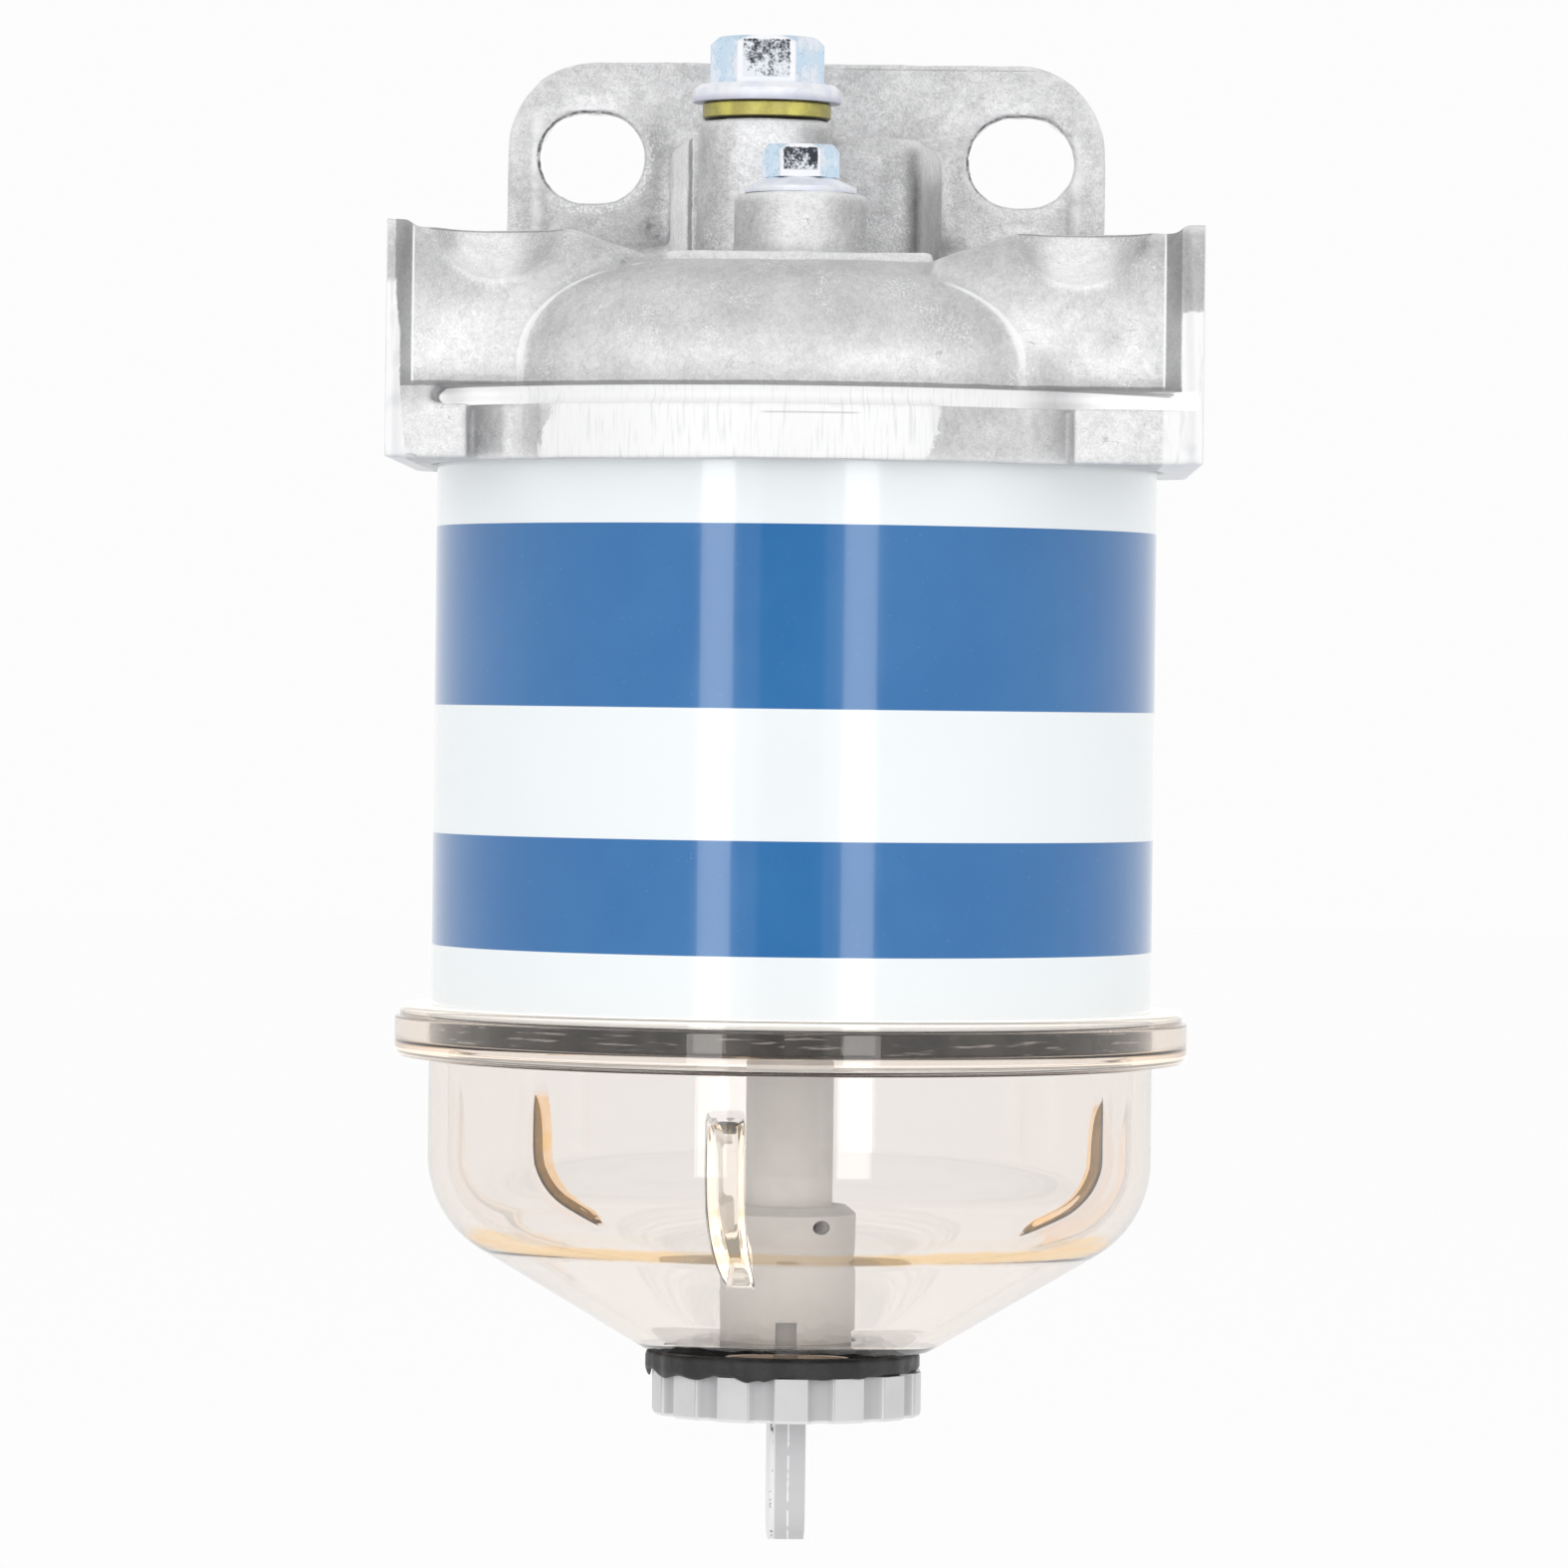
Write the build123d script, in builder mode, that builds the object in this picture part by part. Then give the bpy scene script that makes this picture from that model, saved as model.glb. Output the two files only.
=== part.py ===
from build123d import *
from math import radians, sqrt, tan
import os

os.makedirs("parts", exist_ok=True)

# Fuel filter and water separator: a cast head that bolts to a wall, a steel filter can hung under it by one
# long bolt, and a clear water bowl with a drain wheel below. The origin is the centre of the two mounting
# slots on the wall face, +Z is up and +Y points into the wall, so the filter stands on the -Y side.
# Sizes are millimetres.

# Mounting flange
slot_pitch = 53.5
slot_width = 11.0
slot_length = 13.0
flange_edge = 4.05
flange_rise = 12.0
flange_thickness = 6.2
flange_corner_radius = 11.0
border_width = 4.4
border_height = 0.8
border_round = 0.7
neck_blend = 4.5

# Head casting, levels measured up from its underside
axis_depth = 51.0
head_drop = 39.8
rim_height = 6.5
groove_height = 2.0
groove_depth = 1.2
dome_height = 15.0
ledge_height = 2.2
block_height = 18.4
plate_height = 27.7
rim_wall = 3.8
dome_inset = 0.8
dome_shoulder = 12.0
ledge_half_width = 15.9
ledge_reach = 10.0
neck_height = 16.0

# Side blocks, end plates and lower lugs
end_plate_thickness = 2.6
end_plate_step = 1.0
left_block_setback = 13.3
right_block_setback = 9.0
block_back_reach = 31.0
block_back_round = 5.0
block_shoulder_x = 26.0
block_edge_round = 2.4
plate_slope = 1.8
plate_slope_drop = 2.6
plate_draft = 0.8
plate_side_slope = 0.9
left_scoop_x = 34.6
left_scoop_radius = 7.5
left_scoop_drop = 6.2
right_scoop_x = 32.8
right_scoop_radius = 8.1
right_scoop_drop = 6.3
left_lug_x = 37.8
right_lug_x = 32.3
left_flute_x = 29.1
left_flute_hollow = 2.2
right_flute_x = 16.3
right_flute_hollow = 1.9
groove_left_end = 42.0

# Bosses on top of the head
centre_boss_radius = 8.0
centre_boss_height = 7.3
vent_boss_radius = 8.05
vent_boss_height = 17.2
vent_boss_draft = 1.8
vent_x = -4.5
vent_offset = 18.0
pad_half_width = 14.2
pad_root_half_width = 17.0
pad_reach = 21.0
pad_height = 15.6
pad_round = 3.0
boss_edge = 0.4

# Fuel ports and the spaces inside the head
port_radius = 6.2
port_depth = 12.0
port_spacing = 30.0
port_rise = 17.8
spot_face_radius = 9.6
spot_face_depth = 0.4
port_chamfer = 0.8
passage_radius = 3.6
seal_land = 1.5
chamber_wall_radius = 17.0
outer_chamber_height = 11.8
centre_chamber_radius = 10.0
centre_chamber_height = 12.0
bridge_half_width = 22.5
bridge_height = 8.0
can_pocket_depth = 7.0
can_pocket_clearance = 0.5
vent_drill_radius = 2.0
vent_thread_depth = 14.0

# Vent plug and its washer
vent_thread_radius = 4.0
thread_clearance = 0.05
vent_plug_reach = 11.0
vent_hex_flats = 12.0
vent_hex_height = 5.8
vent_flange_radius = 9.0
vent_flange_height = 2.1
vent_washer_radius = 7.8
vent_washer_thickness = 2.1
hex_bevel = 0.9
screw_tip_chamfer = 0.8
washer_clearance = 0.3
washer_edge = 0.3

# Centre bolt and its ring seal
bolt_radius = 3.0
bolt_hole_clearance = 0.3
bolt_hex_flats = 8.0
bolt_hex_height = 3.9
bolt_flange_radius = 6.7
bolt_flange_edge = 0.7
bolt_flange_height = 1.9
bolt_seal_wire = 1.7
bolt_tip_reach = 2.0

# Filter can
can_radius = 43.0
can_height = 70.0
can_wall = 0.6
seam_width = 3.4
end_plate_gauge = 0.8
end_plate_dish = 2.0
end_plate_seat_width = 5.0
flow_hole_radius = 3.2
flow_hole_circle = 27.0
flow_hole_count = 12
tube_radius = 7.8
tube_wall = 0.8
tube_rise = 2.4
paper_side_gap = 0.8
paper_gap = 1.0
paper_turns = 9
paper_groove = 1.2

# Large seals and the small seal on the can's tube
head_seal_thickness = 2.5
bowl_seal_thickness = 3.0
large_seal_width = 3.2
seal_side_gap = 0.3
tube_seal_width = 3.4

# Water bowl
bowl_wall = 2.3
bowl_height = 40.8
bowl_shelf_width = 2.6
bowl_rim_wall = 3.8
bowl_rim_height = 6.1
bowl_socket_depth = 4.3
bowl_rim_groove = 0.6
bowl_rim_step = 1.3
bowl_rim_round = 0.8
bowl_bend_radius = 13.0
bowl_cone_angle = 30.7
floor_edge = 0.7
rib_width = 4.2
rib_reach = 3.4
rib_top_gap = 5.7
rib_length = 20.0
rib_azimuths = (-99.3, 20.7, 140.7)

# Column that carries the bowl on the bolt
column_lower_radius = 8.1
column_upper_radius = 5.25
column_step_rise = 16.5
column_entry = 5.0
column_shoulder = 1.2
column_hole_clearance = 0.15
foot_radius = 12.0
foot_thickness = 1.2
foot_seal_thickness = 1.0
insert_radius = 4.1
insert_length = 18.0
stem_bore_radius = 5.1
stem_bore_web = 1.0
foot_slot_width = 2.5
foot_slot_height = 2.6
foot_slot_count = 4
foot_slot_azimuth = -90.0
air_hole_radius = 1.1
air_hole_drop = 1.8
air_hole_azimuth = -60.0

# Drain wheel, its seals and its screw
wheel_radius = 16.1
wheel_height = 5.3
wheel_lobes = 14
wheel_flute_radius = 1.75
wheel_flute_inset = 0.4
wheel_turn = 3.0
wheel_edge = 0.5
wheel_recess_radius = 11.5
wheel_recess_depth = 1.8
drain_seal_overhang = 0.4
seal_edge_round = 0.9
moving_gap = 0.3
stem_length = 15.5
stem_tip_chamfer = 0.8
stem_seal_wire = 1.4
stem_seal_drop = 2.2
tab_thickness = 4.2
tab_width = 14.0
tab_drop = 14.8
tab_corner_radius = 4.5
tab_flare = 1.2

# Half-thickness of the slice in which an edge is looked for at a known place
fit_margin = 0.01

# Levels worked out from the sizes above
axis_y = -axis_depth
flange_half_width = slot_pitch / 2 + slot_length / 2 + flange_edge
socket_radius = can_radius + can_pocket_clearance
rim_radius = socket_radius + rim_wall
dome_radius = rim_radius - dome_inset
left_block_reach = rim_radius - left_block_setback
right_block_reach = rim_radius - right_block_setback
large_seal_outer = socket_radius - seal_side_gap
large_seal_inner = large_seal_outer - large_seal_width
outer_chamber_radius = large_seal_inner - seal_land
bowl_rim_radius = socket_radius + bowl_rim_wall
bowl_radius = socket_radius - bowl_shelf_width + bowl_wall
paper_radius = can_radius - can_wall - paper_side_gap
drain_seal_radius = wheel_radius + drain_seal_overhang
drain_seal_thickness = foot_seal_thickness + foot_thickness + moving_gap
floor_radius = drain_seal_radius + floor_edge
stem_radius = stem_bore_radius - thread_clearance
head_base = -head_drop
rim_top = head_base + rim_height
block_base = rim_top + groove_height
dome_top = block_base + dome_height
ledge_top = dome_top + ledge_height
block_top = block_base + block_height
plate_top = head_base + plate_height
centre_boss_top = ledge_top + centre_boss_height
vent_boss_top = ledge_top + vent_boss_height
neck_top = block_base + neck_height
port_z = head_base + port_rise
vent_y = axis_y + vent_offset
pocket_roof = head_base + can_pocket_depth
pad_top = ledge_top + pad_height
can_top = pocket_roof - head_seal_thickness
can_bottom = can_top - can_height
bowl_shelf = can_bottom - bowl_seal_thickness
bowl_rim_top = bowl_shelf + bowl_socket_depth
bowl_floor = bowl_rim_top - bowl_height
column_top = can_bottom + column_entry
foot_top = bowl_floor - foot_seal_thickness
foot_base = foot_top - foot_thickness
wheel_top = bowl_floor - drain_seal_thickness
wheel_base = wheel_top - wheel_height

# The filter's upright axis, and the two kinds of plane that its pieces are drawn on
filter_axis = Axis((0, axis_y, 0), (0, 0, 1))
section_plane = Plane.XZ.offset(axis_depth)


def level(z):
    """Horizontal sketch plane on the filter axis at height z."""
    return Plane(origin=(0, axis_y, z))


def front_plane(reach):
    """Upright sketch plane facing the front, this far in front of the filter axis."""
    return Plane.XZ.offset(axis_depth + reach)


def cast_boss(x, offset, radius, top, draft):
    """Round boss from the dome up to this level, with its side drafted and its top edge broken."""
    base_radius = radius + (top - dome_top) * tan(radians(draft))
    with BuildPart() as boss:
        with BuildSketch(Plane(origin=(x, axis_y + offset, 0), x_dir=(1, 0, 0), z_dir=(0, -1, 0))):
            with BuildLine():
                Polyline(
                    (0, dome_top),
                    (base_radius, dome_top),
                    (radius, top - boss_edge),
                    (radius - boss_edge, top),
                    (0, top),
                    (0, dome_top),
                )
            make_face()
        revolve(axis=Axis((x, axis_y + offset, 0), (0, 0, 1)))
    return boss.part


centre_boss = cast_boss(0, 0, centre_boss_radius, centre_boss_top, 0)
vent_boss = cast_boss(vent_x, vent_offset, vent_boss_radius, vent_boss_top, vent_boss_draft)

# Cast head: flange, neck, dome, side blocks, end plates, lower rim and bosses in one casting
with BuildPart() as filter_head:
    # Mounting flange with its raised border
    flange_middle = (flange_rise + block_base) / 2
    with BuildSketch(Plane.XZ) as flange_outline:
        with Locations((0, flange_middle)):
            Rectangle(2 * flange_half_width, flange_rise - block_base)
        fillet(flange_outline.vertices().group_by(Axis.Y)[-1], flange_corner_radius)
    extrude(amount=flange_thickness)
    with BuildSketch(Plane.XZ, mode=Mode.PRIVATE) as flange_web:
        with Locations((0, flange_middle - border_width)):
            Rectangle(2 * (flange_half_width - border_width), flange_rise - block_base)
        fillet(flange_web.vertices().group_by(Axis.Y)[-1], flange_corner_radius - border_width)
    with BuildSketch(Plane.XZ.offset(flange_thickness)):
        add(flange_outline.sketch_local)
        add(flange_web.sketch_local, mode=Mode.SUBTRACT)
    extrude(amount=border_height)
    border_face = filter_head.faces().filter_by(Axis.Y).sort_by(Axis.Y)[0]
    border_edges = border_face.edges().filter_by_position(Axis.Z, block_base + border_width, flange_rise)
    fillet(border_edges, border_round)
    with BuildSketch(Plane.XZ):
        with GridLocations(slot_pitch, 0, 2, 1):
            SlotOverall(slot_length, slot_width)
    extrude(amount=flange_thickness + border_height, mode=Mode.SUBTRACT)

    # Neck from the flange to the body, hollowed to a round blend at the flange
    with BuildSketch(Plane.YZ.offset(-flange_half_width)) as neck_profile:
        with BuildLine():
            Polyline(
                (axis_y, block_base),
                (axis_y, neck_top),
                (-flange_thickness - neck_blend, neck_top),
            )
            RadiusArc(
                (-flange_thickness - neck_blend, neck_top),
                (-flange_thickness, neck_top + neck_blend),
                neck_blend,
            )
            Polyline(
                (-flange_thickness, neck_top + neck_blend),
                (0, neck_top + neck_blend),
                (0, block_base),
                (axis_y, block_base),
            )
        make_face()
    extrude(amount=2 * flange_half_width)

    # Domed body, with the turned rim below it
    with BuildSketch(section_plane):
        with BuildLine():
            Polyline((0, head_base), (rim_radius, head_base), (rim_radius, rim_top))
            Polyline((rim_radius, rim_top), (dome_radius, rim_top), (dome_radius, dome_top - dome_shoulder))
            RadiusArc(
                (dome_radius, dome_top - dome_shoulder),
                (dome_radius - dome_shoulder, dome_top),
                -dome_shoulder,
            )
            Polyline((dome_radius - dome_shoulder, dome_top), (0, dome_top), (0, head_base))
        make_face()
    revolve(axis=filter_axis)

    # Left and right side blocks, drawn from the front
    with BuildSketch(front_plane(left_block_reach)):
        with BuildLine():
            Polyline(
                (-rim_radius, block_base),
                (-rim_radius, block_top),
                (-block_shoulder_x, block_top),
                (-ledge_half_width, dome_top),
                (-ledge_half_width, block_base),
                (-rim_radius, block_base),
            )
        make_face()
    extrude(amount=-(left_block_reach + block_back_reach))
    left_edges = filter_head.faces().filter_by(Axis.Y).sort_by(Axis.Y)[0].edges().filter_by_position(
        Axis.Z, dome_top + fit_margin, block_top + fit_margin
    )
    fillet(left_edges, block_edge_round)
    with BuildSketch(front_plane(right_block_reach)):
        with BuildLine():
            Polyline(
                (rim_radius, block_base),
                (rim_radius, block_top),
                (block_shoulder_x, block_top),
                (ledge_half_width, dome_top),
                (ledge_half_width, block_base),
                (rim_radius, block_base),
            )
        make_face()
    extrude(amount=-(right_block_reach + block_back_reach))
    right_edges = filter_head.faces().filter_by(Axis.Y).sort_by(Axis.Y)[0].edges().filter_by_position(
        Axis.Z, dome_top + fit_margin, block_top + fit_margin
    )
    fillet(right_edges, block_edge_round)

    # Lower lugs that fill the rim out to the end plates
    for lug_x, lug_reach in ((-left_lug_x, left_block_reach), (right_lug_x, right_block_reach)):
        side = -1 if lug_x < 0 else 1
        with BuildSketch(level(head_base)):
            with Locations(((lug_x + side * rim_radius) / 2, (block_back_reach - lug_reach) / 2)):
                Rectangle(rim_radius - abs(lug_x), block_back_reach + lug_reach)
        extrude(amount=rim_height + groove_height)

    # End plates that the fuel ports open through
    for side, plate_reach in ((-1, left_block_reach), (1, right_block_reach)):
        with BuildSketch(front_plane(plate_reach + end_plate_step)):
            with BuildLine():
                inner_x = side * (rim_radius - end_plate_thickness)
                base_x = inner_x + side * plate_draft
                Polyline(
                    (side * rim_radius, head_base),
                    (side * rim_radius, plate_top),
                    (inner_x, plate_top),
                    (inner_x - side * plate_slope, plate_top - plate_slope_drop),
                    (inner_x - side * plate_slope, rim_top),
                    (base_x, rim_top),
                    (base_x, head_base),
                    (side * rim_radius, head_base),
                )
            make_face()
        extrude(amount=-(plate_reach + end_plate_step + block_back_reach))
    for side, plate_reach in ((-1, left_block_reach), (1, right_block_reach)):
        inner_x = side * (rim_radius - end_plate_thickness)
        with BuildSketch(front_plane(plate_reach)):
            with BuildLine():
                Polyline(
                    (inner_x - 2 * side * plate_slope, 0),
                    (inner_x, 0),
                    (inner_x, plate_top),
                    (inner_x + side * plate_draft, rim_top),
                    (inner_x - 2 * side * plate_slope, rim_top),
                    (inner_x - 2 * side * plate_slope, 0),
                )
            make_face()
        extrude(amount=end_plate_step, mode=Mode.SUBTRACT)
        step_middle = (inner_x + side * plate_draft / 2, axis_y - plate_reach - end_plate_step, block_base)
        step_edge = filter_head.edges().sort_by_distance(step_middle)[0]
        chamfer(step_edge, plate_side_slope)
    for side in (-1, 1):
        back_edges = (
            filter_head.edges()
            .filter_by(Axis.Z)
            .filter_by_position(Axis.X, side * rim_radius - fit_margin, side * rim_radius + fit_margin)
            .group_by(Axis.Y)[-1]
        )
        fillet(back_edges, block_back_round)

    # Ledge, pad and the two bosses on top
    with BuildSketch(level(dome_top)):
        with Locations((0, (axis_depth - flange_thickness - ledge_reach) / 2)):
            Rectangle(2 * ledge_half_width, axis_depth - flange_thickness + ledge_reach)
    extrude(amount=ledge_height)
    with BuildSketch(level(dome_top)) as pad_outline:
        with BuildLine():
            Polyline(
                (-pad_half_width, pad_reach),
                (pad_half_width, pad_reach),
                (pad_root_half_width, axis_depth - flange_thickness),
                (-pad_root_half_width, axis_depth - flange_thickness),
                (-pad_half_width, pad_reach),
            )
        make_face()
        fillet(pad_outline.vertices().group_by(Axis.Y)[0], pad_round)
    extrude(amount=pad_top - dome_top)
    pad_top_edges = (
        filter_head.faces()
        .filter_by(Axis.Z)
        .filter_by_position(Axis.Z, pad_top - fit_margin, pad_top + fit_margin)
        .sort_by(SortBy.AREA)[-1]
        .edges()
        .filter_by_position(Axis.Y, axis_y, -flange_thickness - pad_round)
    )
    fillet(pad_top_edges, pad_round / 2)
    add(centre_boss)
    add(vent_boss)

    # Scoops in the front top edges of the blocks
    for scoop_x, scoop_reach, scoop_radius, scoop_drop in (
        (-left_scoop_x, left_block_reach, left_scoop_radius, left_scoop_drop),
        (right_scoop_x, right_block_reach, right_scoop_radius, right_scoop_drop),
    ):
        with Locations((scoop_x, axis_y - scoop_reach, block_top - scoop_drop + scoop_radius)):
            Sphere(scoop_radius, mode=Mode.SUBTRACT)

    # Turned groove between the body and the rim, open at the front between the end plates
    with BuildSketch(level(rim_top)):
        groove_right_end = rim_radius - end_plate_thickness
        groove_front = right_block_reach + rim_radius
        with Locations(((groove_right_end - groove_left_end) / 2, -groove_front / 2)):
            Rectangle(groove_left_end + groove_right_end, groove_front)
        Circle(rim_radius - groove_depth, mode=Mode.SUBTRACT)
    extrude(amount=groove_height, mode=Mode.SUBTRACT)

    # Hollow flutes between the lugs and the rim
    for start_x, end_x, end_reach, hollow in (
        (-left_flute_x, -left_lug_x, left_block_reach, left_flute_hollow),
        (right_flute_x, right_lug_x, right_block_reach, right_flute_hollow),
    ):
        start = Vector(start_x, -sqrt(rim_radius**2 - start_x**2))
        end = Vector(end_x, -end_reach)
        chord = end - start
        flute_radius = (chord.length**2 / 4 + hollow**2) / (2 * hollow)
        outward = Vector(-chord.Y, chord.X).normalized()
        if outward.Y > 0:
            outward = outward * -1
        centre = (start + end) / 2 + outward * (flute_radius - hollow)
        with BuildSketch(level(head_base)):
            with Locations((centre.X, centre.Y)):
                Circle(flute_radius)
        extrude(amount=rim_height, mode=Mode.SUBTRACT)

    # Pocket for the can, outer chamber, and the ring wall round the centre chamber
    with BuildSketch(level(head_base)):
        Circle(socket_radius)
    extrude(amount=can_pocket_depth, mode=Mode.SUBTRACT)
    with BuildSketch(level(pocket_roof)):
        Circle(outer_chamber_radius)
        Circle(chamber_wall_radius, mode=Mode.SUBTRACT)
    extrude(amount=outer_chamber_height, mode=Mode.SUBTRACT)
    with BuildSketch(level(pocket_roof + outer_chamber_height)):
        with Locations(((chamber_wall_radius + outer_chamber_radius) / 2, 0)):
            Rectangle(outer_chamber_radius - chamber_wall_radius + passage_radius, 2 * bridge_half_width)
    extrude(amount=-bridge_height)
    with BuildSketch(level(pocket_roof)):
        Circle(centre_chamber_radius)
    extrude(amount=centre_chamber_height, mode=Mode.SUBTRACT)

    # Ports, their machined spot faces and the drillings behind them
    for side in (-1, 1):
        port_plane = Plane(origin=(side * rim_radius, axis_y, port_z), x_dir=(0, 1, 0), z_dir=(side, 0, 0))
        with BuildSketch(port_plane):
            with GridLocations(port_spacing, 0, 2, 1):
                Circle(spot_face_radius)
        extrude(amount=-spot_face_depth, mode=Mode.SUBTRACT)
        with BuildSketch(port_plane):
            with GridLocations(port_spacing, 0, 2, 1):
                Circle(port_radius)
        extrude(amount=-port_depth, mode=Mode.SUBTRACT)
        with BuildSketch(port_plane.offset(-spot_face_depth)):
            with GridLocations(port_spacing, 0, 2, 1):
                Circle(port_radius + port_chamfer)
        extrude(amount=-port_chamfer, taper=45, mode=Mode.SUBTRACT)
    for offset_y in (-port_spacing / 2, port_spacing / 2):
        left_start = (-rim_radius + port_depth / 2, axis_y + offset_y, port_z)
        with BuildSketch(Plane(origin=left_start, z_dir=(1, 0, 0))):
            Circle(passage_radius)
        extrude(amount=rim_radius - chamber_wall_radius - port_depth / 2, mode=Mode.SUBTRACT)
        right_start = Vector(rim_radius - port_depth + passage_radius, axis_y + offset_y, port_z)
        right_end = Vector(0, axis_y, port_z)
        with BuildSketch(Plane(origin=right_start, z_dir=right_end - right_start)):
            Circle(passage_radius)
        extrude(amount=(right_end - right_start).length - centre_chamber_radius / 2, mode=Mode.SUBTRACT)

    # Bolt hole with a seat for its ring seal, and the vent's tapped hole and drilling
    with BuildSketch(level(centre_boss_top)):
        Circle(bolt_radius + bolt_hole_clearance)
    extrude(amount=-(centre_boss_top - pocket_roof), mode=Mode.SUBTRACT)
    with BuildSketch(level(centre_boss_top)):
        Circle(bolt_radius + bolt_seal_wire + seal_side_gap)
    extrude(amount=-bolt_seal_wire, mode=Mode.SUBTRACT)
    with BuildSketch(level(vent_boss_top)):
        with Locations((vent_x, vent_offset)):
            Circle(vent_thread_radius + thread_clearance)
    extrude(amount=-vent_thread_depth, mode=Mode.SUBTRACT)
    with BuildSketch(level(vent_boss_top)):
        with Locations((vent_x, vent_offset)):
            Circle(vent_drill_radius)
    extrude(amount=-(vent_boss_top - pocket_roof), mode=Mode.SUBTRACT)
filter_head.part.label = "filter_head"
export_step(filter_head.part, "parts/filter_head.step")


def hexagon_head(x, y, base, flats, height, bevel):
    """Hexagon of this width across flats, with its top corners turned off at a slope."""
    corner = flats / sqrt(3)
    with BuildPart() as head:
        with BuildSketch(Plane(origin=(x, y, base))):
            RegularPolygon(corner, 6)
        extrude(amount=height)
        with BuildSketch(Plane(origin=(x, y, base), x_dir=(1, 0, 0), z_dir=(0, -1, 0))):
            with BuildLine():
                Polyline(
                    (0, 0),
                    (corner, 0),
                    (corner, height - bevel),
                    (flats / 2, height),
                    (0, height),
                    (0, 0),
                )
            make_face()
        revolve(axis=Axis((x, y, base), (0, 0, 1)), mode=Mode.INTERSECT)
    return head.part


def ring(inner, outer, base, height, edge_round, x=0.0, y=axis_y):
    """Flat seal ring with rounded edges, centred on x, y."""
    with BuildPart() as seal:
        with BuildSketch(Plane(origin=(x, y, base))):
            Circle(outer)
            Circle(inner, mode=Mode.SUBTRACT)
        extrude(amount=height)
        fillet(seal.edges().filter_by(GeomType.CIRCLE), edge_round)
    return seal.part


# Vent plug: a zinc-plated flanged hexagon screw in the taller boss
vent_washer_top = vent_boss_top + vent_washer_thickness
vent_flange_top = vent_washer_top + vent_flange_height
vent_hexagon = hexagon_head(vent_x, vent_y, vent_flange_top, vent_hex_flats, vent_hex_height, hex_bevel)
with BuildPart() as vent_plug:
    with BuildSketch(level(vent_washer_top)):
        with Locations((vent_x, vent_offset)):
            Circle(vent_flange_radius)
    extrude(amount=vent_flange_height)
    chamfer(vent_plug.faces().sort_by(Axis.Z)[-1].edges(), vent_flange_height / 3)
    with BuildSketch(level(vent_washer_top)):
        with Locations((vent_x, vent_offset)):
            Circle(vent_thread_radius)
    extrude(amount=-vent_washer_thickness - vent_plug_reach)
    chamfer(vent_plug.faces().sort_by(Axis.Z)[0].edges(), screw_tip_chamfer)
    add(vent_hexagon)
vent_plug.part.label = "vent_plug"
export_step(vent_plug.part, "parts/vent_plug.step")

# Brass-yellow washer clamped between the vent plug and its boss
with BuildPart() as vent_plug_washer:
    with BuildSketch(level(vent_boss_top)):
        with Locations((vent_x, vent_offset)):
            Circle(vent_washer_radius)
            Circle(vent_thread_radius + washer_clearance, mode=Mode.SUBTRACT)
    extrude(amount=vent_washer_thickness)
    chamfer(vent_plug_washer.edges().filter_by(GeomType.CIRCLE).group_by(SortBy.LENGTH)[-1], washer_edge)
vent_plug_washer.part.label = "vent_plug_washer"
export_step(vent_plug_washer.part, "parts/vent_plug_washer.step")

# Centre bolt: a long flanged hexagon screw that hangs the can and the bowl from the head
bolt_flange_top = centre_boss_top + bolt_flange_height
bolt_tip = column_top - insert_length - bolt_tip_reach
bolt_hexagon = hexagon_head(0, axis_y, bolt_flange_top, bolt_hex_flats, bolt_hex_height, hex_bevel)
with BuildPart() as centre_bolt:
    with BuildSketch(section_plane):
        with BuildLine():
            Polyline(
                (0, bolt_tip),
                (bolt_radius - screw_tip_chamfer, bolt_tip),
                (bolt_radius, bolt_tip + screw_tip_chamfer),
                (bolt_radius, centre_boss_top),
                (bolt_flange_radius, centre_boss_top),
                (bolt_flange_radius, centre_boss_top + bolt_flange_edge),
                (bolt_hex_flats / 2, bolt_flange_top),
                (0, bolt_flange_top),
                (0, bolt_tip),
            )
        make_face()
    revolve(axis=filter_axis)
    add(bolt_hexagon)
centre_bolt.part.label = "centre_bolt"
export_step(centre_bolt.part, "parts/centre_bolt.step")

# Ring seal of round section in the seat under the centre bolt's flange
bolt_seal_centre = bolt_radius + (seal_side_gap + bolt_seal_wire) / 2
with BuildPart() as centre_bolt_seal:
    with BuildSketch(section_plane):
        with Locations((bolt_seal_centre, centre_boss_top - bolt_seal_wire / 2)):
            Circle(bolt_seal_wire / 2)
    revolve(axis=filter_axis)
centre_bolt_seal.part.label = "centre_bolt_seal"
export_step(centre_bolt_seal.part, "parts/centre_bolt_seal.step")

# Can: drawn steel shell with its end seams rolled inwards
with BuildPart() as can_shell:
    with BuildSketch(section_plane):
        with BuildLine():
            Polyline(
                (can_radius - seam_width, can_bottom),
                (can_radius, can_bottom),
                (can_radius, can_top),
                (can_radius - seam_width, can_top),
                (can_radius - seam_width, can_top - can_wall),
                (can_radius - can_wall, can_top - can_wall),
                (can_radius - can_wall, can_bottom + can_wall),
                (can_radius - seam_width, can_bottom + can_wall),
                (can_radius - seam_width, can_bottom),
            )
        make_face()
    revolve(axis=filter_axis)
    outer_rims = can_shell.edges().filter_by(GeomType.CIRCLE).group_by(SortBy.RADIUS)[-1]
    fillet(outer_rims, can_wall * 0.8)
can_shell.part.label = "can_shell"
export_step(can_shell.part, "parts/can_shell.step")


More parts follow.
